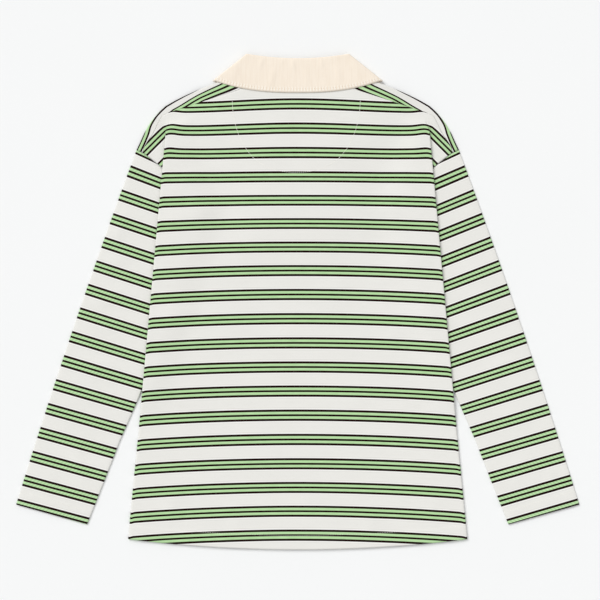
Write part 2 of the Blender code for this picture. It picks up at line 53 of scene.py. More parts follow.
class Value:
    """A shader socket that adds, multiplies and compares like a number."""

    def __init__(self, look, socket):
        self.look, self.socket = look, socket

    def using(self, operation, *others, clamp=False):
        made = self.look.tree.nodes.new("ShaderNodeMath")
        made.operation = operation
        made.use_clamp = clamp
        for slot, item in zip(made.inputs, (self, *others)):
            self.look.join(item, slot)
        return Value(self.look, made.outputs[0])

    def __add__(self, other):
        return self.using("ADD", other)

    def __sub__(self, other):
        return self.using("SUBTRACT", other)

    def __mul__(self, other):
        return self.using("MULTIPLY", other)

    def __truediv__(self, other):
        return self.using("DIVIDE", other)

    def __rsub__(self, other):
        return self * -1 + other

    __radd__, __rmul__ = __add__, __mul__

    def size(self):
        return self.using("ABSOLUTE")

    def above(self, edge, ease):
        """0 under the edge and 1 over it, easing over this width."""
        share = ((self - (edge - ease / 2)) / ease).using("ADD", 0.0, clamp=True)
        return share * share * (3 - 2 * share)

    def near(self, place, half, ease):
        """1 within this half width of a place and 0 beyond it, easing over this width."""
        return 1 - (self - place).size().above(half, ease)

    def wave(self, length):
        """A sine that repeats over this length."""
        return (self * (2 * math.pi / length)).using("SINE")

    def most(self, other):
        return self.using("MAXIMUM", other)

    def from_whole(self):
        """Distance from the nearest whole number, with its sign."""
        return (self + 0.5).using("FRACT") - 0.5


class Look:
    """A procedural material: values from nodes, joined to one Principled shader."""

    def __init__(self, name, roughness, **constants):
        self.material = bpy.data.materials.new(name)
        self.material.use_nodes = True
        self.tree = self.material.node_tree
        self.shader = self.tree.nodes["Principled BSDF"]
        self.shader.inputs["Roughness"].default_value = roughness
        for label, value in constants.items():
            self.shader.inputs[label.replace("_", " ")].default_value = value

    def join(self, item, slot):
        if isinstance(item, Value):
            self.tree.links.new(item.socket, slot)
        else:
            slot.default_value = item

    def node(self, kind, settings, output, **sockets):
        made = self.tree.nodes.new("ShaderNode" + kind)
        for label, value in settings.items():
            setattr(made, label, value)
        for label, value in sockets.items():
            place = int(label[1:]) if label[0] == "_" else label.replace("_", " ")
            self.join(value, made.inputs[place])
        return Value(self, made.outputs[output])

    def mix(self, share, first, second):
        settings = {"data_type": "RGBA"}
        return self.node("Mix", settings, 2, _0=share, _6=first, _7=second)

    def noise(self, place, scale, detail=2.0):
        return self.node("TexNoise", {}, 0, Vector=place, Scale=scale, Detail=detail)

    def triple(self, x, y, z=0.0):
        return self.node("CombineXYZ", {}, 0, X=x, Y=y, Z=z)

    def parts(self, vector):
        split = self.node("SeparateXYZ", {}, 0, Vector=vector)
        outputs = split.socket.node.outputs
        return [Value(self, socket) for socket in outputs]

    def bump(self, height, distance, strength=1.0):
        made = self.node("Bump", {}, 0, Height=height, Distance=distance, Strength=strength)
        self.join(made, self.shader.inputs["Normal"])

    def colour(self, value):
        self.join(value, self.shader.inputs["Base Color"])


LIGHT_LEVEL = 1.05  # what a perfectly white level surface would show under these lights


def seen(red, green, blue):
    """The colour that shows as this sRGB one under these lights."""
    return linear(red, green, blue, LIGHT_LEVEL)


floor_look = Look("floor", 0.9)
spot = floor_look.node("TexCoord", {}, "Object")
mottle = floor_look.noise(spot, 3.0)
floor_look.colour(floor_look.mix(mottle, seen(244, 245, 245), seen(246, 247, 247)))
FLOOR_HALF = 25.0
floor_mesh = bpy.data.meshes.new("floor")
floor_mesh.from_pydata(
    [(x * FLOOR_HALF, y * FLOOR_HALF, 0) for x, y in ((-1, -1), (1, -1), (1, 1), (-1, 1))],
    [],
    [(0, 1, 2, 3)],
)
floor_mesh.materials.append(floor_look.material)
floor = bpy.data.objects.new("floor", floor_mesh)
bpy.context.scene.collection.objects.link(floor)


def soft_light(name, across, height, strength, spread):
    """A broad soft lamp far off, its direction as degrees round from +Y and above the floor."""
    data = bpy.data.lights.new(name, "SUN")
    data.energy, data.angle = strength, math.radians(spread)
    lamp = bpy.data.objects.new(name, data)
    lamp.rotation_euler = (math.radians(90 - height), 0, math.radians(across))
    bpy.context.scene.collection.objects.link(lamp)


soft_light("key", 228, 46, 2.02, 36)
soft_light("fill", 60, 55, 0.35, 60)
SKY_STRENGTH = 0.515
world = bpy.data.worlds.new("studio")
world.use_nodes = True
world.node_tree.nodes["Background"].inputs["Color"].default_value = (1, 1, 1, 1)
world.node_tree.nodes["Background"].inputs["Strength"].default_value = SKY_STRENGTH
bpy.context.scene.world = world
bpy.context.scene.view_settings.view_transform = "Standard"

CAMERA_AT, CAMERA_LENS, CAMERA_SENSOR = (0.0032, 0.0032, 2.3375), 100, 36
camera_data = bpy.data.cameras.new("camera")
camera_data.lens, camera_data.sensor_width = CAMERA_LENS, CAMERA_SENSOR
camera = bpy.data.objects.new("camera", camera_data)
camera.location = CAMERA_AT
bpy.context.scene.collection.objects.link(camera)
bpy.context.scene.camera = camera


# Back panel.
# Striped cotton jersey, hemmed at the foot and sewn to the collar, the yokes and the sleeves.
# Its edges are folded over the dropped shoulders and round to the side seams underneath.

JERSEY = 0.0009  # thickness that is shown
SEAM = 0.0001  # left between two pieces that are sewn together
FRONT_LEVEL, SLEEVE_LEVEL, BACK_LEVEL = 0.0006, 0.0024, 0.0036
FOLD_RADIUS = 0.00115  # of the soft rolls along the body's edges
NECK_HALF, BACK_NECK_UP, BACK_NECK_RISE = 0.084, 0.303, 0.019
NECK_LIFT = 0.0033
ARMPIT = (0.1424, 0.1264)
SIDE_OUT, SIDE_OUT_UP, SIDE_SPREAD = 0.187, 0.208, 0.0907  # the body widens towards its foot
# The hem's height, half width and rise at its ends, and where lines above it begin to bow
HEM_UP, HEM_HALF, HEM_RISE, HEM_BOW_FROM = -0.3464, 0.236, 0.0146, -0.100
PITCH, FIRST_BAND_UP = 0.0336, 0.2787  # of the stripe
GREEN_HALF = 0.19  # half of a green band, as a share of the pitch
EDGE_LINE_HALF, MIDDLE_LINE_HALF = 0.046, 0.041  # half widths of the dark lines, as such shares


def smooth(t):
    """0 up to 0, 1 from 1 on, and an even ease between."""
    t = np.clip(t, 0, 1)
    return t * t * (3 - 2 * t)


def line(*points):
    """Rows of plain numbers as an array: the points of a line, or a table."""
    return np.array(points, float)


def run_along(path):
    """How far along a path each of its points lies."""
    steps = np.linalg.norm(np.diff(path, axis=0), axis=1)
    return np.concatenate([[0], np.cumsum(steps)])


def at_run(path, run):
    """Places at these distances along a path, straight from point to point."""
    return np.stack([np.interp(run, run_along(path), axis) for axis in path.T], -1)


def at_share(path, share):
    """Places at these shares of a path's length."""
    return at_run(path, np.asarray(share) * run_along(path)[-1])


YOKE_SEAM = line(
    (0.0660, 0.3065), (0.0840, 0.2965), (0.1387, 0.2790), (0.1564, 0.2734), (0.1788, 0.2664),
    (0.1900, 0.2615), (0.1946, 0.2533), (0.1985, 0.2445), (0.2035, 0.2350), (0.2108, 0.2250),
    (0.2155, 0.2170), (0.2172, 0.2099),
)  # fmt: skip
PLEAT_START = 5  # the point of YOKE_SEAM where the edge fold begins
PLEAT_FROM = YOKE_SEAM[PLEAT_START - 1, 0]
ARMHOLE = line(
    (0.2255, 0.2132), (0.2166, 0.2095), (0.2096, 0.2044), (0.1984, 0.1957), (0.1879, 0.1873),
    (0.1720, 0.1680), (0.1560, 0.1460), ARMPIT,
)  # fmt: skip
YOKE_SHARE = 0.075  # of the armhole seam
SLEEVE_INNER = line(
    (0.1440, 0.1250), (0.1580, 0.0700), (0.1760, 0.0080), (0.1970, -0.0600), (0.2162, -0.1160),
    (0.2247, -0.1368), (0.2492, -0.1928), (0.2709, -0.2488), (0.2955, -0.3108),
)  # fmt: skip
# Sections of the edge fold: its height, the turn in degrees, and the run back under
PLEAT = line(
    (0.2615, 0, 0.0000), (0.2575, 4, 0.0010), (0.2530, 12, 0.0012), (0.2480, 32, 0.0012),
    (0.2430, 80, 0.0012), (0.2385, 135, 0.0012), (0.2340, 168, 0.0020),
    (0.2290, 180, 0.0040), (0.2150, 180, 0.0105), (0.2010, 180, 0.0170), (0.1873, 180, 0.0230),
    (0.1680, 180, 0.0330), (0.1460, 180, 0.0440), (0.1264, 180, 0.0560),
)  # fmt: skip


def neck_lift(x, y):
    """How far the neck is lifted: all of it in the middle, easing out and down."""
    end = 0.125 + 0.055 * smooth((y - 0.170) / 0.090)
    return NECK_LIFT * smooth((end - np.abs(x)) / 0.090) * smooth((y - 0.030) / 0.070)


def side_edge(y):
    """How far out the body's folded edge lies: a straight line that leans out as it goes down."""
    return SIDE_OUT + SIDE_SPREAD * (SIDE_OUT_UP - np.asarray(y, float))


def sleeve_inner(y):
    """How far out the sleeve's inner edge lies, read from its line."""
    return np.interp(-np.asarray(y, float), -SLEEVE_INNER[:, 1], SLEEVE_INNER[:, 0])


def side_seam(y):
    """How far out the side seam lies: 10 mm inside the sleeve's inner edge or the body's edge."""
    below = smooth((ARMPIT[1] - np.asarray(y, float)) / 0.015)
    return np.minimum(sleeve_inner(y), side_edge(y)) - 0.010 * below


def back_neck(x):
    """The back neck's height: nearly level, and steep at its ends by the sixth power."""
    return BACK_NECK_UP + BACK_NECK_RISE * (np.abs(x) / NECK_HALF) ** 6


def hem_bow(x, y):
    """How far a line across the body rises at its ends, growing to the hem's own curve."""
    grown = smooth((HEM_BOW_FROM - y) / (HEM_BOW_FROM - HEM_UP))
    return HEM_RISE * grown * (x / HEM_HALF) ** 2


def back_level(x, y, edge_level, shelf):
    """Level inside, easing up to the layers that are folded under from the shelf out."""
    inside = smooth((shelf - np.abs(x)) / 0.045)
    return edge_level + (BACK_LEVEL - edge_level + neck_lift(x, y)) * inside


def creases(x, y, rows):
    """Soft folds: each a bell across a slightly bowed line, fading to nothing at both ends."""
    height = np.zeros(np.broadcast(x, y).shape)
    for x0, y0, x1, y1, bow, width, rise in np.array(rows) / 1000:
        length = math.hypot(x1 - x0, y1 - y0)
        run = ((x1 - x0) / length, (y1 - y0) / length)
        along = ((x - x0) * run[0] + (y - y0) * run[1]) / length
        across = (y - y0) * run[0] - (x - x0) * run[1] - 4 * bow * along * (1 - along)
        ends = smooth(along / 0.4) * smooth((1 - along) / 0.45)
        height = height + rise * ends * np.exp(-((across / width) ** 2))
    return height


def billow(x, y, size):
    """Broad unevenness of laid cloth: three crossed waves of this size."""
    first = np.sin(31 * x + 13 * y + 0.7) * np.sin(9 * x - 27 * y + 1.9)
    second = np.sin(17 * x - 41 * y + 2.6) * np.sin(38 * x + 22 * y + 0.3)
    return size * (0.6 * first + 0.4 * second)


BODY_SAG = np.array(
    [
        (0, 1.3, 3.2, 6.3, 6.3, 6.3, 6.3),
        (1, 1.7, 2.8, 5.2, 4.2, 3.9, 3.6),
        (2, 2.2, 2.7, 4.0, 3.4, 3.5, 3.9),
        (3, 2.6, 2.8, 3.5, 3.9, 4.2, 4.8),
        (4, 1.8, 1.9, 3.0, 4.2, 4.8, 5.5),
        (5, 0.6, 1.1, 2.7, 4.5, 5.3, 6.4),
        (6, -0.3, 0.4, 2.1, 4.6, 5.8, 6.9),
        (7, -1.0, -0.3, 1.8, 4.1, 5.6, 7.2),
        (8, -1.0, -0.3, 1.9, 4.1, 5.8, 7.8),
        (10, -0.4, 0.3, 2.3, 4.6, 6.3, 8.4),
        (12, -0.2, 0.5, 2.5, 4.8, 6.5, 8.5),
        (13, 0.0, 0.7, 2.9, 5.1, 6.8, 8.8),
        (14, 0.4, 1.1, 3.4, 5.6, 7.3, 9.2),
        (15, 0.9, 1.6, 3.8, 6.0, 7.7, 9.6),
        (16, 0.4, 1.1, 3.7, 5.9, 7.6, 9.6),
        (17, 0.0, 0.7, 3.4, 5.6, 7.3, 9.3),
    ]
)  # the band, and how far it sags at each of SAG_OUT, in millimetres
BODY_HALF = 0.235
SAG_OUT = np.array([0, 0.07, 0.14, 0.186, 0.21, BODY_HALF]) / BODY_HALF
SAG_POWERS = np.array([0, 2, 4, 6])
SAG_TERMS = np.linalg.lstsq(SAG_OUT[:, None] ** SAG_POWERS, BODY_SAG[:, 1:].T, rcond=None)[0]
# At the folded edge the bands drop by a hook, and just inside it near the shoulder they rise
EDGE_HOOK, EDGE_HOOK_WIDE = 0.9, 0.0030  # millimetres down, metres in
EDGE_RISE, EDGE_RISE_IN, EDGE_RISE_WIDE, EDGE_RISE_UP = 1.5, 0.008, 0.010, 0.19
SHOULDER_BAND_AT, SHOULDER_PITCH = 0.4259, 0.04508  # out plus up, of the dropped shoulder's bands
TURN_TIGHTNESS = 14  # how sharply a band turns from the body to the dropped shoulder


def body_stripe(x, y):
    """The stripe number at a place on the body: whole in the middle of each green band.

    It is the distance down from the first band in pitches, less the sag of the nearest bands.
    """
    level = (FIRST_BAND_UP - y) / PITCH
    powers = (np.abs(x) / BODY_HALF)[..., None] ** SAG_POWERS
    inside = side_edge(y) - np.abs(x)
    hook = EDGE_HOOK * np.exp(-((inside / EDGE_HOOK_WIDE) ** 2))
    rise = EDGE_RISE * np.exp(-(((inside - EDGE_RISE_IN) / EDGE_RISE_WIDE) ** 2))
    rise = rise * smooth((y - EDGE_RISE_UP) / 0.04)
    sags = powers @ SAG_TERMS + (hook - rise)[..., None]
    knots = BODY_SAG[:, 0]
    place = np.interp(level, knots, np.arange(len(knots)))[..., None]
    weights = np.clip(1 - np.abs(place - np.arange(len(knots))), 0, 1)
    return level - (sags * weights).sum(-1) / 1000 / PITCH


def shoulder_stripe(x, y):
    """The stripe number on the dropped shoulder, where the bands run down and out."""
    return 1 + (SHOULDER_BAND_AT - y - np.abs(x)) / SHOULDER_PITCH


def turning_stripe(x, y):
    """The lesser of the body's and the shoulder's stripe numbers, rounded where they cross."""
    both = np.stack([body_stripe(x, y), shoulder_stripe(x, y)])
    return -np.log(np.exp(-TURN_TIGHTNESS * both).sum(0)) / TURN_TIGHTNESS


def cells_of(grid):
    """The four corners of each cell of a grid of numbers or of maps."""
    return np.stack([grid[:-1, :-1], grid[:-1, 1:], grid[1:, 1:], grid[1:, :-1]], 2)


def mesh_piece(name, points, faces, look, maps=None):
    """An object from an array of points and lists of corners, smooth, with its own UV map."""
    mesh = bpy.data.meshes.new(name)
    mesh.from_pydata(points.tolist(), [], faces)
    if maps is not None:
        layer = mesh.uv_layers.new(name="cloth")
        layer.data.foreach_set("uv", maps.astype(np.float32).ravel())
    mesh.shade_smooth()
    mesh.materials.append(look.material)
    piece = bpy.data.objects.new(name, mesh)
    bpy.context.scene.collection.objects.link(piece)
    return piece


def cloth(name, points, stripe, look, wall=JERSEY, closed=False, used=None, flip=False):
    """A thin shell on a grid of points (rows, columns, 3).

    Its map holds metres along each row, and the stripe number.
    """
    rows, columns = points.shape[:2]
    index = np.arange(rows * columns).reshape(rows, columns)
    if closed:
        index = np.concatenate([index, index[:, :1]], 1)
        points = np.concatenate([points, points[:, :1]], 1)
        stripe = np.concatenate([stripe, stripe[:, :1]], 1)
    steps = np.linalg.norm(np.diff(points, axis=1), axis=2)
    across = np.concatenate([np.zeros((rows, 1)), np.cumsum(steps, 1)], 1)
    if not closed:
        across = across - across[:, columns // 2][:, None]
        used = np.ones((rows - 1, columns - 1), bool) if used is None else used
    else:
        used = np.ones((rows - 1, columns), bool)
    faces = cells_of(index)[used]
    maps = cells_of(np.stack([across, stripe], -1))[used]
    if flip:
        faces, maps = faces[:, ::-1], maps[:, ::-1]
    kept, faces = np.unique(faces, return_inverse=True)
    places = points[:, :columns].reshape(-1, 3)[kept]
    piece = mesh_piece(name, places, faces.reshape(-1, 4).tolist(), look, maps)
    solidify = piece.modifiers.new("wall", "SOLIDIFY")
    solidify.thickness, solidify.offset = wall, 0
    solidify.use_quality_normals = True
    return piece


def mirrored(points):
    """The same points on the other side of the middle."""
    return points * np.array([-1, 1, 1])


def both_halves(half):
    """A whole width from its +X half, whose first column is the middle."""
    return np.concatenate([mirrored(half[:, :0:-1]), half], 1)


def both_sides(half):
    """A whole width of numbers that are alike on both sides."""
    return np.concatenate([half[:, :0:-1], half], 1)


def striped_jersey(name, slant):
    """Ecru knit with green bands: three thin dark lines each, streaked along or across the rows.

    The slant is how much the slanting rows show in the green, where the cloth hangs on the bias.
    """
    look = Look(name, 0.92, Sheen_Weight=0.05, Sheen_Roughness=0.5, Specular_IOR_Level=0.1)
    across, stripe, _ = look.parts(look.node("UVMap", {"uv_map": "cloth"}, 0))
    along = stripe * PITCH
    place = look.triple(across, along)
    waver = (look.noise(place, 260.0, 3.0) - 0.5) * 0.003
    off = (stripe + waver).from_whole().size()
    green = 1 - off.above(GREEN_HALF, 0.02)
    edge_line = off.near(GREEN_HALF, EDGE_LINE_HALF, 0.008)
    middle_line = 1 - off.above(MIDDLE_LINE_HALF, 0.008)
    streaks = look.noise(look.triple(across * 70, along * 2600), 1.0, 3.0)
    slubs = look.noise(look.triple(across * 900, along * 500), 1.0, 2.0)
    patches = look.noise(place, 22.0, 3.0)
    ecru = look.mix(patches, seen(231, 230, 225), seen(237, 236, 231))
    ecru = look.mix(slubs.above(0.62, 0.12) * 0.35, ecru, seen(225, 223, 216))
    bright_row = off.near(0.262, 0.012, 0.016)
    ecru = look.mix(bright_row * 0.85, ecru, seen(253, 252, 250))
    beside = off.near(0.302, 0.010, 0.018)
    ecru = look.mix(beside * patches * 0.7, ecru, seen(216, 214, 208))
    pale_green, deep_green = seen(194, 227, 175), seen(172, 211, 154)
    leaf = look.mix(streaks.above(0.5, 0.35), deep_green, pale_green)
    rows_shown = (across * 1.15 + along).wave(0.0056) * 0.5 + 0.5
    leaf = look.mix(rows_shown * slant, leaf, seen(140, 184, 125))
    leaf = look.mix((1 - rows_shown) * slant, leaf, seen(218, 246, 201))
    base = look.mix(green, ecru, leaf)
    dark = look.mix(streaks, linear(18, 4, 4), linear(38, 17, 14))
    look.colour(look.mix(edge_line.most(middle_line), base, dark))
    wales, courses = across.wave(0.0011), along.wave(0.0009)
    knit = wales * 0.5 + courses * 0.35 + wales * courses * 0.4 + streaks * 0.8
    look.bump(knit, 0.00012, 0.5)
    return look


jersey = striped_jersey("striped_jersey", 0.0)


def spaced(*stretches):
    """Evenly spaced stretches, each from, to and count, joined end to end."""
    runs = [np.linspace(*stretch) for stretch in stretches]
    return np.concatenate(runs[:1] + [run[1:] for run in runs[1:]])


ACROSS = spaced((0, 0.9, 40), (0.9, 1, 14))
TURN_STEPS = 6
FORMED_TURN = 150  # degrees of turn from which the edge fold is fully formed
UNDER = np.array([0.2, 0.45, 0.7, 0.88, 0.94, 1.0])  # shares of the run back under the fold
DROP = np.linspace(0, 1, 15)[1:]  # shares of the dropped shoulder, outwards
RAISED_FROM, RAISED_EASE = -0.190, 0.074  # from here up the body's edge lies on the sleeve
# The heights of the back's rows, down to the armpit and on below it
PLEAT_UPS = spaced((0.2615, 0.2290, 16), (0.2290, ARMPIT[1], 22))
BODY_UPS = np.append(0.122, spaced((0.118, -0.325, 92), (-0.325, HEM_UP, 12)))


def turn(radius, degrees):
    """An arc from level, turning down: (out, up) of each step."""
    angles = np.radians(degrees) * np.arange(1, TURN_STEPS + 1) / TURN_STEPS
    return radius * np.sin(angles), -radius * (1 - np.cos(angles))


def pleat_section(edge, turned, run):
    """The folded stretch of a section: an arc down, a straight run, and an arc back to level.

    It gives where the arc starts, and how far out and down each point of the stretch lies.
    """
    radius, angle = FOLD_RADIUS, math.radians(turned)
    first_out, first_down = turn(radius, turned)
    start = edge - radius * math.sin(min(angle, math.pi / 2))
    out = start + first_out
    out = np.concatenate([out, out[-1] + run * UNDER * math.cos(angle)])
    down = np.concatenate([first_down, first_down[-1] - run * UNDER * math.sin(angle)])
    back = angle * (1 - np.arange(1, TURN_STEPS + 1) / TURN_STEPS)
    out = np.concatenate([out, out[-1] + radius * (math.sin(angle) - np.sin(back))])
    down = np.concatenate([down, down[-1] + radius * (math.cos(angle) - np.cos(back))])
    return start, out, down


def seam_top(x):
    """The back panel's upper edge: the neck, then the yoke seam up to the edge fold."""
    corner = YOKE_SEAM[: PLEAT_START + 1].T
    return np.where(x < YOKE_SEAM[0, 0], back_neck(x), np.interp(x, *corner))


def drop_row(share, crease, end):
    """The dropped shoulder from the fold's crease to the armhole seam.

    A straight row, bulged like the yoke seam at the top and less and less below it.
    """
    seam = YOKE_SEAM[PLEAT_START:]
    run = np.linspace(0, 1, len(seam))
    plan = []
    for axis in range(2):
        chord = seam[0, axis] + (seam[-1, axis] - seam[0, axis]) * DROP
        bulge = np.interp(DROP, run, seam[:, axis]) - chord
        straight = crease[axis] + (end[axis] - crease[axis]) * DROP
        plan.append(straight + (1 - share) ** 2 * bulge)
    return np.stack([*plan, np.full(len(DROP), SLEEVE_LEVEL)], -1)


def back_half():
    """Points and stripe numbers of the +X half: rows from the neck to the hem, columns out.

    Down to the armpit a row crosses the panel, the edge fold and the dropped shoulder, flat where
    the fold isn't formed yet. Below it, a row turns half a circle and runs in to the side seam.
    """
    rows, stripes = [], []
    for y in PLEAT_UPS:
        turned = np.interp(-y, -PLEAT[:, 0], PLEAT[:, 1])
        run = np.interp(-y, -PLEAT[:, 0], PLEAT[:, 2])
        share = (PLEAT_UPS[0] - y) / (PLEAT_UPS[0] - ARMPIT[1])
        start, out, down = pleat_section(side_edge(y), turned, run)
        formed = smooth(turned / FORMED_TURN)
        steps = np.arange(1, len(out) + 1) / len(out)
        spread = PLEAT_FROM + (YOKE_SEAM[PLEAT_START, 0] - PLEAT_FROM) * steps
        spread_ups = y + (seam_top(spread) - PLEAT_UPS[0]) * (1 - share) ** 4
        start = PLEAT_FROM + (start - PLEAT_FROM) * formed
        out = spread + (out - spread) * formed
        fold_ups = spread_ups + (y - spread_ups) * formed
        edge_level = SLEEVE_LEVEL - down[-1]
        x = start * ACROSS
        top = seam_top(PLEAT_FROM * ACROSS)
        ups = top + (ARMPIT[1] - top) * share
        panel = np.stack([x, ups, back_level(x, ups, edge_level, min(start, out[-1]))], -1)
        fold = np.stack([out, fold_ups, edge_level + down], -1)
        end = at_share(ARMHOLE, YOKE_SHARE + (1 - YOKE_SHARE) * share) - np.array([SEAM, 0])
        drop = drop_row(share, (out[-1], y), end)
        plan = np.concatenate([panel, fold, drop])
        rows.append(plan)
        blend = smooth(steps)
        folded = body_stripe(np.full(len(out), start), np.full(len(out), y)) * (1 - blend)
        folded = folded + shoulder_stripe(out[-1], y) * blend
        layered = [body_stripe(x, ups), folded, shoulder_stripe(drop[:, 0], drop[:, 1])]
        open_stripe = turning_stripe(plan[:, 0], plan[:, 1])
        stripes.append(open_stripe + (np.concatenate(layered) - open_stripe) * formed)
    for y in BODY_UPS:
        raised = smooth((y - RAISED_FROM) / RAISED_EASE)
        edge_level = BACK_LEVEL + (SLEEVE_LEVEL + 4 * FOLD_RADIUS - BACK_LEVEL) * raised
        under_level = FRONT_LEVEL + (SLEEVE_LEVEL + 2 * FOLD_RADIUS - FRONT_LEVEL) * raised
        radius = (edge_level - under_level) / 2
        start = float(side_edge(y)) - radius
        x = start * ACROSS
        arc_out, arc_down = turn(radius, 180)
        seam = float(side_seam(y)) + SEAM
        knee = max(min(start - radius, float(sleeve_inner(y)) - 0.0015), seam)
        panel = np.stack([x, y + hem_bow(x, y), back_level(x, y, edge_level, knee)], -1)
        under = np.array([start * 0.7 + knee * 0.3, (start + knee) / 2, start * 0.2 + knee * 0.8])
        under = np.concatenate([under, [knee, (knee + seam) / 2, seam]])
        dip = (under_level - FRONT_LEVEL) * smooth((ARMPIT[1] - y) / 0.015)
        under_height = under_level - dip * np.array([0, 0, 0, 0, 0.5, 1])
        out = np.concatenate([start + arc_out, under])
        height = np.concatenate([edge_level + arc_down, under_height])
        fold = np.stack([out, y + hem_bow(out, y), height], -1)
        spare = np.repeat(fold[-1:], TURN_STEPS + len(DROP), 0)
        rows.append(np.concatenate([panel, fold, spare]))
        stripe = body_stripe(x, y + hem_bow(x, y))
        stripes.append(np.concatenate([stripe, np.full(len(fold) + len(spare), stripe[-1])]))
    return np.array(rows), np.array(stripes)


# Each crease in millimetres: from x, y to x, y, bow, half width, height
BACK_CREASES = (
    (-188, 150, -85, 196, 6, 10, 0.9),
    (-196, 112, -110, 140, -5, 13, 0.8),
    (-205, 50, -125, 64, 4, 12, 0.6),
    (-214, -30, -120, 4, -6, 15, 0.8),
    (-222, -118, -150, -90, 4, 12, 0.6),
    (-150, 30, -70, -75, 8, 17, 0.6),
    (190, 160, 78, 188, -8, 11, 1),
    (196, 126, 120, 160, 5, 12, 0.8),
    (203, 70, 130, 60, 4, 11, 0.7),
    (212, 0, 115, -42, 7, 14, 0.8),
    (221, -100, 140, -124, -4, 13, 0.6),
    (115, 95, 40, -20, -7, 18, 0.5),
    (-30, 275, -45, 180, 4, 15, 0.5),
    (52, 270, 60, 205, -3, 12, 0.5),
    (-185, -330, -158, -235, 4, 11, 0.8),
    (-95, -338, -82, -268, -3, 10, 0.6),
    (18, -340, 6, -252, 3, 12, 0.5),
    (98, -336, 110, -280, 2, 9, 0.7),
    (196, -326, 168, -238, -5, 12, 0.8),
)
HEM_DEEP = 0.020


def back_relief(x, y):
    """Creases and unevenness of the back, none at its edge, and the doubled hem."""
    inside = smooth((side_edge(y) - 0.002 - np.abs(x)) / 0.016)
    hem = 0.00035 * smooth((HEM_UP + HEM_DEEP + hem_bow(x, HEM_UP) - y) / 0.0016)
    soft = creases(x, y, BACK_CREASES) + billow(x, y, 0.00028)
    neck = smooth((back_neck(np.minimum(np.abs(x), NECK_HALF)) - y) / 0.02)
    return inside * neck * soft + hem * smooth((side_edge(y) - 0.001 - np.abs(x)) / 0.003)


half, stripes = back_half()
whole = both_halves(half)
panel_columns = len(ACROSS)
middle = whole.shape[1] // 2
top_side = slice(middle - panel_columns + 1, middle + panel_columns)
whole[:, top_side, 2] += back_relief(whole[:, top_side, 0], whole[:, top_side, 1])
spare = TURN_STEPS + len(DROP)
used = np.ones((whole.shape[0] - 1, whole.shape[1] - 1), bool)
used[len(PLEAT_UPS) - 1 :, :spare] = False
used[len(PLEAT_UPS) - 1 :, -spare:] = False
back = cloth("back_panel_cloth", whole, both_sides(stripes), jersey, used=used)
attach(back, "root")
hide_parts("back_panel")


# Front panel.
# The same jersey. It lies flat on the surface, with its neck lifted by the collar's leaves.

FRONT_ACROSS = np.concatenate([[0, 0.03], np.linspace(0.06, 1, 58)])
NECK_SLIT = 0.004  # half the gap between the collar's leaves at the middle front
SHOULDER_NECK_UP = BACK_NECK_UP + BACK_NECK_RISE
FRONT_NECK_DROP = 0.080


def front_neck(x):
    """The front neck's height: half an ellipse hanging from the shoulders."""
    across = np.clip((np.abs(x) - NECK_SLIT) / (NECK_HALF - NECK_SLIT), 0, 1)
    return SHOULDER_NECK_UP - FRONT_NECK_DROP * np.sqrt(1 - across**2)


def front_level(x, y):
    """The front's level, flat but for the lifted neck."""
    return FRONT_LEVEL + neck_lift(x, y)


def front_top(x):
    """The front panel's upper edge: the neck, then the yoke's front seam to the armhole."""
    seam = np.interp(x, YOKE_SEAM[1:, 0], YOKE_SEAM[1:, 1])
    return np.where(x < YOKE_SEAM[1, 0], np.minimum(front_neck(x), seam), seam)


def front_half():
    """Points of the +X half: rows from the neck and shoulder to the hem, columns out."""
    rows = []
    top_out = at_share(ARMHOLE, YOKE_SHARE)[0] - SEAM
    for share in np.linspace(0, 1, 30):
        end = at_share(ARMHOLE, YOKE_SHARE + (1 - YOKE_SHARE) * share)
        x = (end[0] - SEAM) * FRONT_ACROSS
        top = front_top(top_out * FRONT_ACROSS) - SEAM
        y = top + (ARMPIT[1] - top) * share
        y = y + (end[1] - y[-1]) * FRONT_ACROSS**4
        rows.append(np.stack([x, y, front_level(x, y)], -1))
    for up in BODY_UPS[::2]:
        x = side_seam(up) * FRONT_ACROSS
        y = up + hem_bow(x, up)
        rows.append(np.stack([x, y, front_level(x, y)], -1))
    return np.array(rows)


whole = both_halves(front_half())
front_x, front_y = whole[..., 0], whole[..., 1]
whole[..., 2] += np.abs(billow(front_x, front_y, 0.0003))
front = cloth("front_panel_cloth", whole, body_stripe(front_x, front_y), jersey, flip=True)
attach(front, "root")
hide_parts("front_panel")


# Sleeves.
# Two flattened tubes of the same jersey, sewn into the armholes and hemmed at the cuffs.
# They lie on the bias, so slanting rows show in their green.

biased_jersey = striped_jersey("sleeve_jersey", 0.34)

CUFF_OUTER = (0.3941, -0.2832)
SLEEVE_ALONG = spaced((0, 0.3, 40), (0.3, 0.96, 60), (0.96, 1, 12))
SLEEVE_ACROSS = np.linspace(0, 1, 26)
SLEEVE_LONG, CUFF_DEEP, OUTER_BOW = 0.52, 0.020, 0.0036
# Where the photograph's first column and row lie, and the size of its pixel. In its pixels:
# the sleeve's outer edge at a row and its lean, the first band's row there, and the rows between
PHOTO_OUT, PHOTO_UP, PIXEL = 0.41678, 0.42322, 0.0014
EDGE_COLUMN, EDGE_ROW, EDGE_LEAN = 134.7, 149, 0.326
BAND_ROW, BAND_ROWS = 170.1, 23.92
HEAD_ROW, HEAD_ROWS, HEAD_SHIFT = 163, 12, 1.4  # above this row the bands lie a little lower
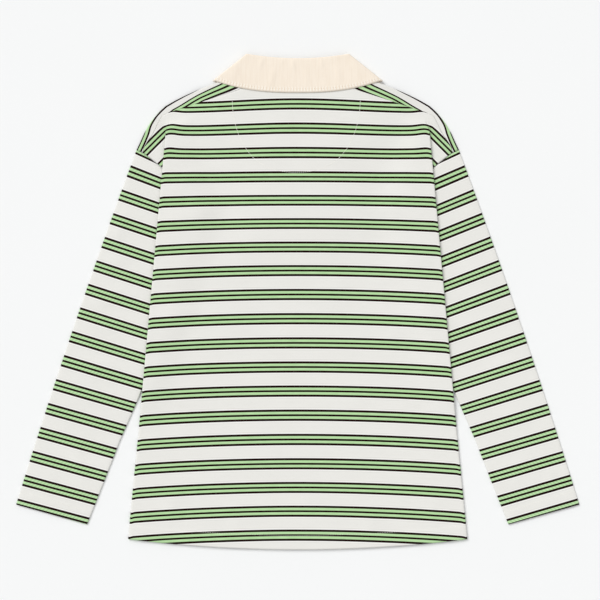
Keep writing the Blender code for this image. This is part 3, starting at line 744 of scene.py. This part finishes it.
# Rows of the sleeve's outer edge, and the slope in degrees of a band that meets it there
SLEEVE_SLOPES = {
    "right": line(
        (150.7, 25.5), (165.7, 23.0), (180, 23.3), (200, 22.2), (260, 21.2), (290, 20.4),
        (320, 19.1), (365, 18.0), (400, 16.8), (440, 16.1), (500, 16.3),
    ),
    "left": line(
        (150.7, 25.5), (165.7, 21.5), (189, 19.3), (213, 18.5), (300, 17.7), (404, 15.7),
        (500, 14.9),
    ),
}  # fmt: skip
# Such rows, and by how many pixels a band lies lower there than even bands would
SLEEVE_SLACK = {
    "right": line(
        (163, 0), (176, 0.45), (250, 0.45), (273, 0.1), (297, 0.3), (321, 1.0), (345, 1.25),
        (369, 1.0), (417, 1.0), (441, 0.75), (465, 0.25), (490, -0.1),
    ),
    "left": line(
        (163, 0), (176, 0.8), (250, 0.8), (273, 0.35), (321, -0.1), (345, -0.2), (369, 0.15),
        (441, 0.15), (465, 0),
    ),
}  # fmt: skip


def sleeve_stripe(x, y, side):
    """The stripe number on a sleeve, whose bands tilt down to the body and flatten to the cuff.

    A place is followed along its band's slope to the outer edge, and numbered by its row there.
    """
    row, column = (PHOTO_UP - y) / PIXEL, (PHOTO_OUT - np.abs(x)) / PIXEL
    edge = EDGE_COLUMN - EDGE_LEAN * (row - EDGE_ROW)
    at_edge = row
    for _ in range(4):
        slope = np.tan(np.radians(np.interp(at_edge, *SLEEVE_SLOPES[side].T)))
        at_edge = row - slope * (column - edge) / (1 + EDGE_LEAN * slope)
    slack = np.interp(at_edge, *SLEEVE_SLACK[side].T)
    at_edge = at_edge - HEAD_SHIFT * smooth((HEAD_ROW - at_edge) / HEAD_ROWS) - slack
    return (at_edge - BAND_ROW) / BAND_ROWS


def unit(ways):
    """The same directions, each of length one."""
    return ways / np.linalg.norm(ways, axis=-1, keepdims=True)


def sleeve_half():
    """A flattened tube, as rings: the top layer in, round the inner edge, and back under."""
    armhole = at_share(ARMHOLE, SLEEVE_ACROSS)
    chord = armhole[0] + (armhole[-1] - armhole[0]) * SLEEVE_ACROSS[:, None]
    radius, level = (SLEEVE_LEVEL - FRONT_LEVEL) / 2, (SLEEVE_LEVEL + FRONT_LEVEL) / 2
    inner_edge = at_share(SLEEVE_INNER, SLEEVE_ALONG)
    start = ARMHOLE[0]
    run = np.array(CUFF_OUTER) - start
    down = unit(run)
    side = np.array([-down[1], down[0]])
    bow = OUTER_BOW * 4 * SLEEVE_ALONG * (1 - SLEEVE_ALONG)
    outer_edge = start + run * SLEEVE_ALONG[:, None] + side * bow[:, None]
    angles = np.pi * np.arange(1, TURN_STEPS) / TURN_STEPS
    rings = []
    for station, share in enumerate(SLEEVE_ALONG):
        outer, inner = outer_edge[station], inner_edge[station]
        across = unit(inner - outer)
        outer = outer + across * radius
        inner = inner - across * radius
        plan = outer + (inner - outer) * SLEEVE_ACROSS[:, None]
        ease = 1 - 0.12 * smooth(share / 0.03)
        plan = plan + (armhole - chord) * (1 - smooth(share / 0.30)) * ease + down * 2 * SEAM
        swung, rise = across * radius * np.sin(angles)[:, None], radius * np.cos(angles)
        layers = (
            (plan, np.full(len(plan), SLEEVE_LEVEL)),
            (plan[-1] + swung, level + rise),
            (plan[::-1], np.full(len(plan), FRONT_LEVEL)),
            (plan[0] - swung, level - rise),
        )
        rings.append(np.concatenate([np.concatenate([p, h[:, None]], 1) for p, h in layers]))
    return np.array(rings)


SLEEVE_CREASES = {
    "right": (
        (228, 150, 262, 85, 4, 9, 0.9),
        (226, 60, 290, 28, -4, 10, 0.9),
        (238, 6, 305, -12, 3, 8, 0.8),
        (240, -50, 312, -58, -4, 10, 1),
        (256, -100, 318, -78, 3, 9, 0.7),
        (268, -150, 330, -175, 4, 10, 0.8),
        (300, -270, 322, -205, 2, 9, 0.7),
        (350, -280, 352, -215, -3, 8, 0.6),
    ),
    "left": (
        (-232, 140, -258, 70, -4, 10, 0.8),
        (-224, 75, -282, 50, 3, 9, 0.8),
        (-234, 20, -300, -4, 4, 10, 1),
        (-246, -36, -310, -34, -3, 8, 0.7),
        (-242, -85, -320, -98, 4, 11, 0.9),
        (-262, -140, -336, -138, -3, 9, 0.7),
        (-296, -262, -312, -190, 3, 9, 0.8),
        (-344, -286, -346, -225, 2, 8, 0.6),
    ),
}


def sleeve_relief(x, y, side):
    """Creases of the top layer, none at its edges or under the body, and the doubled cuff."""
    tube = smooth(SLEEVE_ACROSS / 0.12) * smooth((1 - SLEEVE_ACROSS) / 0.12)
    beside = smooth((np.abs(x) - side_edge(y) - 0.003) / 0.018)
    free = np.maximum(beside, smooth((-0.125 - y) / 0.03))
    head = smooth(SLEEVE_ALONG / 0.05)[:, None]
    past_hem = SLEEVE_ALONG * SLEEVE_LONG - (SLEEVE_LONG - CUFF_DEEP)
    cuff = smooth(past_hem / 0.0016)[:, None]
    soft = creases(x, y, SLEEVE_CREASES[side]) + billow(x + 0.3, y, 0.00025)
    return free * (tube * head * soft + 0.0003 * tube * cuff)


for side in ("right", "left"):
    tube = sleeve_half()
    if side == "left":
        tube = mirrored(tube)
    top = tube[:, : len(SLEEVE_ACROSS)]
    top[..., 2] += sleeve_relief(top[..., 0], top[..., 1], side)
    stripe = sleeve_stripe(tube[..., 0], tube[..., 1], side)
    name = "sleeve_" + side + "_cloth"
    sleeve = cloth(name, tube, stripe, biased_jersey, closed=True, flip=side == "left")
    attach(sleeve, "root")
    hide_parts("sleeve_" + side)


# Shoulder yokes.
# A strip of the same jersey over each shoulder, its stripes running with the shoulder line.

YOKE_ACROSS = 1 - np.linspace(1, 0, 20) ** 1.5  # closer together towards the shoulder fold
YOKE_FRONT_OUT = 0.955 * NECK_HALF
SHOULDER = line(
    (0.0862, 0.3190), (0.1000, 0.3130), (0.1140, 0.3068), (0.1267, 0.3020), (0.1428, 0.2955),
    (0.1589, 0.2885), (0.1729, 0.2815), (0.1850, 0.2745), (0.1930, 0.2672), (0.1992, 0.2600),
    (0.2052, 0.2525), (0.2100, 0.2450), (0.2150, 0.2360), (0.2190, 0.2270), (0.2255, 0.2132),
)  # fmt: skip
OUTER_LINE_SLOPE = 37  # stripe numbers in a metre across the next band's first line
# Along the yoke: how far the band's upper dark line lies from the shoulder fold, how far the
# next band's first line does, and how far apart the band's lines are
YOKE_LINES = line(
    (0.0810, 0.0028, -0.0060, 0.0088), (0.1063, 0.0042, -0.0030, 0.0080),
    (0.1480, 0.0073, 0.0005, 0.0062), (0.1719, 0.0105, 0.0011, 0.0060),
    (0.1900, 0.0112, 0.0013, 0.0060), (0.2000, 0.0119, 0.0015, 0.0060),
    (0.2080, 0.0124, 0.0026, 0.0060), (0.2113, 0.0152, 0.0041, 0.0060),
    (0.2145, 0.0173, 0.0057, 0.0060), (0.2206, 0.0175, 0.0061, 0.0060),
)  # fmt: skip


def yoke_stripe(x, from_fold, lower):
    """The stripe number at a distance inside the shoulder fold, at a station this far out.

    It runs evenly between the lines that YOKE_LINES places, and on past them.
    """
    near, far, step = (np.interp(x, YOKE_LINES[:, 0], YOKE_LINES[:, n]) for n in (1, 2, 3))
    near = near + lower
    thick = 0.0001 + 0.0010 * smooth((x - 0.160) / 0.03)
    beyond = 8  # steps of one line to the next, carried on past both
    knots = (far - beyond * step, far, far + thick, near, near + beyond * step)
    first, last = 1 - GREEN_HALF, GREEN_HALF
    further = beyond * GREEN_HALF
    numbers = (first + further, first, first - OUTER_LINE_SLOPE * thick, last, last - further)
    return np.interp(from_fold, knots, numbers)


def yoke_half(lower):
    """Points and stripe numbers: back seam, shoulder fold and front seam at each station."""
    ends = run_along(YOKE_SEAM) / run_along(YOKE_SEAM)[-1]
    stations = np.unique(np.concatenate([np.linspace(0, 1, 60), ends]))
    seam, fold = at_share(YOKE_SEAM, stations), at_share(SHOULDER, stations)
    away = unit(fold - seam)
    neck_front = np.array([YOKE_FRONT_OUT, front_neck(YOKE_FRONT_OUT)])
    rows, stripes = [], []
    for station, share in enumerate(stations):
        out_way = away[station]
        first = 1 - smooth(share / ends[1])
        back_edge = seam[station] + SEAM * out_way
        to_neck = max(0, 1 - share / ends[1])
        front_edge = back_edge + (neck_front - seam[0]) * to_neck
        crest = fold[station]
        low = float(front_level(*crest))
        high = float(back_level(crest[0], crest[1], SLEEVE_LEVEL, PLEAT_FROM))
        radius = (high - low) / 2
        inner_crest = crest - radius * out_way
        back = back_edge + (inner_crest - back_edge) * YOKE_ACROSS[:, None]
        neck_y = back_neck(np.minimum(back[:, 0], NECK_HALF)) + SEAM
        back[:, 1] = np.where(first > 0.99, np.minimum(neck_y, crest[1]), back[:, 1])
        under = front_edge + (inner_crest - front_edge) * YOKE_ACROSS[::-1, None]
        arc_out, arc_down = turn(radius, 180)
        bend = inner_crest + arc_out[:-1, None] * out_way
        top = back_level(back[:, 0], back[:, 1], SLEEVE_LEVEL, PLEAT_FROM)
        top[-1] = high
        bottom = front_level(under[:, 0], under[:, 1])
        bottom[0] = low
        height = np.concatenate([top, high + arc_down[:-1], bottom])
        plan = np.concatenate([back, bend, under])
        rows.append(np.concatenate([plan, height[:, None]], 1))
        gap = np.linalg.norm(plan - crest, axis=1)
        gap[len(back) + len(bend) // 2 :] *= -1
        stripes.append(yoke_stripe(crest[0], gap, lower))
    return np.array(rows), np.array(stripes)


for side, lower in (("right", 0.0028), ("left", 0.0)):
    strip, stripes = yoke_half(lower)
    if side == "left":
        strip = mirrored(strip)
    yoke = cloth("yoke_" + side + "_cloth", strip, stripes, jersey, flip=side == "left")
    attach(yoke, "root")
    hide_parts("yoke_" + side)


# Neck facing.
# A half moon of jersey inside the back neck. A line of stitches round it shows on the back.

FACING_HALF, FACING_UP, FACING_DEPTH, FACING_TOP = 0.0925, 0.2846, 0.1055, 0.3015
MIDDLE_LEVEL = (FRONT_LEVEL + BACK_LEVEL) / 2
LAYER_STEP = 0.0015  # from one layer of the shirt to the next
MOON_ROUND = 2.6  # the power of the half moon's curve, 2 for an ellipse
facing_across = np.sin(np.linspace(0, math.pi / 2, 24)) * 0.995
facing_x = FACING_HALF * facing_across
facing_foot = FACING_UP - FACING_DEPTH * np.sqrt(1 - facing_across**MOON_ROUND)
facing_y = FACING_TOP + (facing_foot - FACING_TOP) * np.linspace(0, 1, 30)[:, None]
facing_x = np.broadcast_to(facing_x, facing_y.shape)
facing_z = MIDDLE_LEVEL + neck_lift(facing_x, facing_y)
whole = both_halves(np.stack([facing_x, facing_y, facing_z], -1))
stripe = body_stripe(whole[..., 0], whole[..., 1])
facing = cloth("neck_facing_cloth", whole, stripe, jersey, wall=0.0008)
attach(facing, "root")
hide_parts("neck_facing")


def thread(name, colour):
    """Twisted sewing thread, a little shiny."""
    look = Look(name, 0.6, Sheen_Weight=0.2)
    spot = look.node("TexCoord", {}, "Object")
    x, y, _ = look.parts(spot)
    twist = (x + y).wave(0.0006)
    pale = tuple(min(1.0, part * 1.08) for part in colour[:3]) + (1.0,)
    look.colour(look.mix(twist * 0.5 + 0.5, colour, pale))
    look.bump(twist, 0.00005, 0.4)
    return look


def ring_cells(rings, sides):
    """The four-cornered cells between rings of points, numbered ring by ring."""
    index = np.arange(rings * sides).reshape(rings, sides)
    return cells_of(np.concatenate([index, index[:, :1]], 1)).reshape(-1, 4)


def stitches(name, paths, look, length=0.0024, gap=0.0009, radius=0.00022):
    """Rows of short threads sunk into the cloth: each path is points (n, 3) along a seam.

    Each thread is a row of rings, narrow at both ends, round a short straight piece of the path.
    """
    rings, sides = np.array([-1, -0.8, 0, 0.8, 1]), 6
    width = np.array([0.25, 0.8, 1.0, 0.8, 0.25])
    angles = 2 * math.pi * np.arange(sides)[:, None] / sides
    ends = []
    for path in paths:
        whole_run = run_along(path)[-1]
        count = max(2, int(whole_run / (length + gap)))
        middles = (np.arange(count) + 0.5) * whole_run / count
        ends.append([at_run(path, middles - length / 2), at_run(path, middles + length / 2)])
    first, last = np.concatenate(ends, 1)
    way = unit(last - first)
    aside = unit(np.cross(way, (0, 0, 1.0)))
    above = np.cross(aside, way)
    along = (rings * length / 2)[:, None, None] * way[:, None, None]
    ring = np.cos(angles) * aside[:, None] + np.sin(angles) * above[:, None]
    round_it = (width * radius)[:, None, None] * ring[:, None]
    points = (((first + last) / 2)[:, None, None] + along + round_it).reshape(-1, 3)
    size = len(rings) * sides
    starts = (np.arange(len(way)) * size)[:, None, None]
    faces = (starts + ring_cells(len(rings), sides)).reshape(-1, 4)
    caps = np.stack([np.arange(sides)[::-1], np.arange(size - sides, size)])
    caps = (starts + caps).reshape(-1, sides)
    piece = mesh_piece(name, points, faces.tolist() + caps.tolist(), look)
    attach(piece, "root")
    return piece


ecru_thread = thread("ecru_thread", seen(240, 238, 230))
MOON_ASIDE, MOON_HALF, MOON_DEPTH = -0.0020, 0.0895, 0.1025
moon_across = np.sin(np.linspace(-1, 1, 160) * math.pi / 2)
moon_x = MOON_ASIDE + MOON_HALF * moon_across
moon_y = FACING_UP - MOON_DEPTH * np.sqrt(1 - np.abs(moon_across) ** MOON_ROUND)


def back_top(x, y):
    """The height of the back's upper face, away from its edges."""
    level = back_level(x, y, SLEEVE_LEVEL + 2 * LAYER_STEP, side_edge(y))
    return level + back_relief(x, y) + JERSEY / 2


moon = np.stack([moon_x, moon_y, back_top(moon_x, moon_y) + 0.00002], -1)
moon_stitches = stitches("half_moon_stitches", [moon], ecru_thread, gap=0.0005, radius=0.0003)


# Hem stitches.
# One row of ecru thread round the body's foot and round each cuff, over the doubled cloth.

HEM_STITCH_HALF = 0.2325
hem_x = np.linspace(-HEM_STITCH_HALF, HEM_STITCH_HALF, 120)
hem_y = HEM_UP + HEM_DEEP + hem_bow(hem_x, HEM_UP)
hem_z = BACK_LEVEL + back_relief(hem_x, hem_y) + JERSEY / 2
tube = sleeve_half()
at_hem = 1 - CUFF_DEEP / SLEEVE_LONG
ring = [np.interp(at_hem, SLEEVE_ALONG, column) for column in tube.reshape(len(tube), -1).T]
ring = np.reshape(ring, (-1, 3))[1 : len(SLEEVE_ACROSS) - 1]
ring[:, 2] += JERSEY / 2 + 0.00015
rows = [np.stack([hem_x, hem_y, hem_z], -1), ring, mirrored(ring)]
hem_stitches = stitches("hem_stitches", rows, ecru_thread)


# Collar.
# Cream cotton twill, folded over its roll line, topstitched beside its free edge.
# Its fall lies on the back, its leaves are turned under the front, and its stand meets the neck.

COLLAR_TOP_HALF, COLLAR_TOP_UP, COLLAR_CORNER_RISE = 0.0700, 0.3400, 0.0060
COLLAR_TIP, COLLAR_EDGE_UP = (0.1160, 0.3095), 0.2930
LEAF_POINT, LEAF_END = (0.082, 0.222), (0.004, 0.262)
STAND_HALF_TURN = (BACK_LEVEL - FRONT_LEVEL) / 2
FALL_HALF_TURN = STAND_HALF_TURN + LAYER_STEP
TWILL = 0.0011
FALL = np.linspace(0, 1, 18)
STAND = np.linspace(0, 1, 9)[1:]
TOPSTITCH_IN = 0.0052


def collar_twill():
    """Cream twill: fine diagonal ribs, faint streaks down the cloth, and slubs, with painted
    light and shade on the puckers beside the edge and painted shade in the stitch holes.
    """
    look = Look("collar_twill", 0.88, Sheen_Weight=0.12, Sheen_Roughness=0.5)
    across, along, _ = look.parts(look.node("UVMap", {"uv_map": "cloth"}, 0))
    place = look.triple(across, along)
    waver = (look.noise(place, 180.0) - 0.5) * 0.6
    ribs = ((across * 0.8 + along) * (2 * math.pi / 0.0015) + waver).using("SINE")
    streaks = look.noise(look.triple(across * 420, along * 26), 1.0, 3.0)
    patches = look.noise(place, 30.0, 3.0)
    cream, deep = seen(252, 241, 226), seen(243, 229, 211)
    base = look.mix(patches * 0.6 + streaks.above(0.55, 0.3) * 0.4, cream, deep)
    base = look.mix((ribs * 0.5 + 0.5) * 0.25, base, seen(234, 219, 200))
    # Painted light and shade of the puckers beside the free edge: lighter crests, darker troughs.
    pucker_lit = (across * (2 * math.pi / 0.0043) + waver * 3).using("SINE").above(-0.2, 0.8)
    hemmed = along.near(0.0048, 0.0026, 0.0036)
    base = look.mix(hemmed * pucker_lit * 0.55, base, seen(255, 250, 240))
    base = look.mix(hemmed * (1 - pucker_lit) * 0.35, base, seen(232, 214, 190))
    # Painted shade: darker dashes along the topstitched line, where the stitch holes sink in.
    stitched = along.near(TOPSTITCH_IN, 0.0005, 0.0006)
    between = across.wave(0.0033).above(0.1, 0.8)
    look.colour(look.mix(stitched * between * 0.35, base, seen(198, 176, 150)))
    look.bump(ribs * 0.6 + streaks * 1.2, 0.00014, 0.5)
    return look


twill = collar_twill()


def collar_line(share, back):
    """Three points of the collar's section, (out, up): free edge, roll line and neck seam.

    The share runs from the shoulder to the middle back, along powers of what is left of it, or
    to the middle front, round a quarter of an ellipse.
    """
    if back:
        left = 1 - share
        roll = (COLLAR_TOP_HALF * left, COLLAR_TOP_UP + COLLAR_CORNER_RISE * left**2)
        rise = (COLLAR_TIP[1] - COLLAR_EDGE_UP) * left**2.5
        edge = (COLLAR_TIP[0] * left, COLLAR_EDGE_UP + rise)
        neck = (NECK_HALF * left, back_neck(NECK_HALF * left) + 3 * SEAM)
    else:
        angle = share * math.pi / 2
        top = COLLAR_TOP_UP + COLLAR_CORNER_RISE
        roll_out = LEAF_END[0] + (COLLAR_TOP_HALF - LEAF_END[0]) * math.cos(angle)
        roll = (roll_out, top - (top - LEAF_END[1]) * math.sin(angle))
        edge = tuple(a + (b - a) * share for a, b in zip(COLLAR_TIP, LEAF_POINT))
        neck_out = LEAF_END[0] + (NECK_HALF - LEAF_END[0]) * math.cos(angle)
        neck = (neck_out, SHOULDER_NECK_UP - FRONT_NECK_DROP * math.sin(angle) + 3 * SEAM)
    return np.array(edge), np.array(roll), np.array(neck)


def collar_lift(plan):
    """How far the collar is lifted: with the neck, and by 1.5 mm at least."""
    lift = neck_lift(plan[:, 0], np.minimum(plan[:, 1], SHOULDER_NECK_UP))
    return np.maximum(lift, 0.0015)


def collar_row(share, back, turned):
    """One section and its map: up the fall, over the roll line and down the stand."""
    edge, roll, neck = collar_line(share, back)
    fall = edge + (roll - edge) * FALL[:, None]
    stand = roll + (neck - roll) * STAND[:, None]
    angles = np.pi * np.arange(1, TURN_STEPS) / TURN_STEPS
    bend_radius = LAYER_STEP / 2
    bend = np.stack([np.full(len(angles), roll[0]), roll[1] + bend_radius * np.sin(angles)], -1)
    depth = np.concatenate(
        [
            np.full(len(fall), FALL_HALF_TURN),
            FALL_HALF_TURN - bend_radius * (1 - np.cos(angles)),
            np.full(len(stand) + 1, STAND_HALF_TURN),
        ]
    )
    plan = np.concatenate([fall, bend, roll[None], stand])
    height = MIDDLE_LEVEL + collar_lift(plan) + depth * math.sin(turned)
    points = np.stack([plan[:, 0] + depth * math.cos(turned), plan[:, 1], height], -1)
    return points, run_along(points)


COLLAR_CREASES = (
    (-50, 352, -53, 322, 1, 3, 0.8),
    (-22, 350, -20, 330, -1, 2.2, 0.8),
    (-8, 350, -4, 318, -1, 3, 0.8),
    (31, 352, 34, 324, 1, 2.8, 0.8),
    (-34, 332, -38, 298, 1, 4, 0.7),
    (52, 334, 60, 300, 1, 4, 0.7),
    (72, 345, 92, 306, 2, 6, 0.6),
    (-78, 342, -94, 305, -2, 5.5, 0.5),
    (10, 330, 14, 296, 1, 4, 0.4),
)


def collar_relief(x, y, from_edge):
    """Creases down the fall, and the dents that its topstitching pulls beside the edge."""
    soft = creases(x, y, COLLAR_CREASES) + billow(x, y, 0.0002)
    beside = np.exp(-(((from_edge - 0.0055) / 0.0036) ** 2))
    pulls = np.sin(x * (2 * math.pi / 0.0046) + 1.5 * np.sin(x * 61)) * 0.00022 * beside
    groove = -0.00022 * np.exp(-(((from_edge - TOPSTITCH_IN) / 0.0010) ** 2))
    rim = -0.0003 * np.exp(-((from_edge / 0.0012) ** 2))
    return soft * smooth(from_edge / 0.006) + pulls + groove + rim


back_shares = np.linspace(0, 1, 121)
front_shares = np.linspace(0, 1, 34)
side_turns = np.radians(np.linspace(75, -75, 11))
sections = [collar_row(share, True, math.pi / 2) for share in back_shares[::-1]]
sections += [collar_row(0, True, angle) for angle in side_turns]
sections += [collar_row(share, False, -math.pi / 2) for share in front_shares]
half = np.array([points for points, _ in sections]).transpose(1, 0, 2)
run = both_sides(np.array([along for _, along in sections]).T)
whole = both_halves(half)
fall_rows = len(FALL)
middle = whole.shape[1] // 2
on_back = slice(middle - len(back_shares) + 1, middle + len(back_shares))
fall = whole[:fall_rows, on_back]
fade = smooth((1 - FALL) / 0.12)[:, None]
fall[..., 2] += fade * collar_relief(fall[..., 0], fall[..., 1], run[:fall_rows, on_back])
collar = cloth("collar_cloth", whole, run, twill, wall=TWILL)
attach(collar, "root")
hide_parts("collar")


def fall_path(sign):
    """The topstitched line on the fall, from the middle back to the tip on this side."""
    points = []
    for share in np.linspace(1, 0.03, 60):
        edge, roll, _ = collar_line(share, True)
        at = edge + TOPSTITCH_IN * unit(roll - edge)
        lift = collar_lift(at[None])[0]
        level = MIDDLE_LEVEL + FALL_HALF_TURN + lift + TWILL / 2
        level += collar_relief(sign * at[0], at[1], TOPSTITCH_IN)
        points.append((sign * at[0], at[1], level))
    return np.array(points)


cream_thread = thread("cream_thread", seen(246, 232, 212))
topstitching = stitches("collar_topstitching", [fall_path(1), fall_path(-1)], cream_thread)


# Placket.
# A strip of the collar's twill down the front opening, stitched along both sides.

PLACKET_HALF, PLACKET_FOOT, PLACKET_WALL = 0.016, 0.106, 0.0008
PLACKET_UNDER = 0.0014  # below the middle of the front's wall
placket_x = PLACKET_HALF * np.linspace(0, 1, 9)
placket_top = front_neck(placket_x) - 3 * SEAM
placket_y = placket_top + (PLACKET_FOOT - placket_top) * np.linspace(0, 1, 50)[:, None]
placket_x = np.broadcast_to(placket_x, placket_y.shape)
placket_z = front_level(placket_x, placket_y) - PLACKET_UNDER
whole = both_halves(np.stack([placket_x, placket_y, placket_z], -1))
placket = cloth("placket_cloth", whole, whole[..., 1], twill, wall=PLACKET_WALL, flip=True)
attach(placket, "root")
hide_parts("placket")

stitch_y = np.linspace(0.238, PLACKET_FOOT + 0.003, 60)
placket_rows = []
for x in (-PLACKET_HALF + 0.0025, PLACKET_HALF - 0.0025):
    z = front_level(x, stitch_y) - PLACKET_UNDER - PLACKET_WALL / 2
    placket_rows.append(np.stack([np.full(len(stitch_y), x), stitch_y, z], -1))
placket_stitches = stitches("placket_stitches", placket_rows, cream_thread)


# Buttons.
# Three cream shirt buttons with raised rims, sewn through four holes, turned face down.

BUTTON_RADIUS, BUTTON_THICK, BUTTON_SIDES = 0.0055, 0.0016, 40
BUTTON_UNDER = 0.0022  # from the middle of the front's wall to the button's back
HOLE_OUT, HOLE_RADIUS = 0.19, 0.11  # as shares of the button's radius
BUTTON_UPS = (0.228, 0.176, 0.124)
# Out and down from the middle of the back, as shares: each disc is this line turned round
BUTTON_PROFILE = line(
    (0, 0), (0.80, 0), (0.93, 0.03), (0.985, 0.16), (1, 0.40), (0.995, 0.70), (0.97, 0.90),
    (0.92, 0.98), (0.86, 0.99), (0.80, 0.93), (0.73, 0.80), (0.60, 0.74), (0.30, 0.72), (0, 0.72),
)  # fmt: skip


def button_look():
    """Satin cream plastic with a cloudy grain, and four holes painted dark as their shade."""
    look = Look("button_pearl", 0.3, Coat_Weight=0.4, Coat_Roughness=0.15)
    x, y, _ = look.parts(look.node("UVMap", {"uv_map": "cloth"}, 0))
    hole_x, hole_y = x.size() - HOLE_OUT, y.size() - HOLE_OUT
    from_hole = (hole_x * hole_x + hole_y * hole_y).using("SQRT")
    cloud = look.noise(look.triple(x, y), 3.5, 4.0)
    base = look.mix(cloud, linear(226, 220, 204), linear(244, 240, 228))
    # Painted shade: the holes aren't cut, they are dark discs in the colour, with a bump round
    # them.
    look.colour(look.mix(from_hole.above(HOLE_RADIUS, 0.03), linear(70, 62, 52), base))
    look.bump(from_hole.above(HOLE_RADIUS, 0.05), 0.0003)
    return look


pearl = button_look()
angles = 2 * math.pi * np.arange(BUTTON_SIDES) / BUTTON_SIDES
for number, up in enumerate(BUTTON_UPS, 1):
    foot = float(front_level(0, up)) - BUTTON_UNDER
    ring = np.stack([np.cos(angles), np.sin(angles)], -1)
    flat = BUTTON_PROFILE[:, :1, None] * ring[None]
    plan = flat * BUTTON_RADIUS + np.array([0, up])
    height = np.broadcast_to(foot - BUTTON_THICK * BUTTON_PROFILE[:, 1:], plan.shape[:2])
    points = np.concatenate([plan, height[..., None]], -1).reshape(-1, 3)
    cells = ring_cells(len(BUTTON_PROFILE), BUTTON_SIDES)[:, ::-1]
    maps = flat.reshape(-1, 2)[cells]
    disc = mesh_piece("button_%d_disc" % number, points, cells.tolist(), pearl, maps)
    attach(disc, "root")
    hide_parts("button_%d" % number)


# Cloth pieces.
# Each sleeve's and yoke's cloth, looked up by name.

for side in ("right", "left"):
    tube = bpy.data.objects["sleeve_" + side + "_cloth"]
    strip = bpy.data.objects["yoke_" + side + "_cloth"]
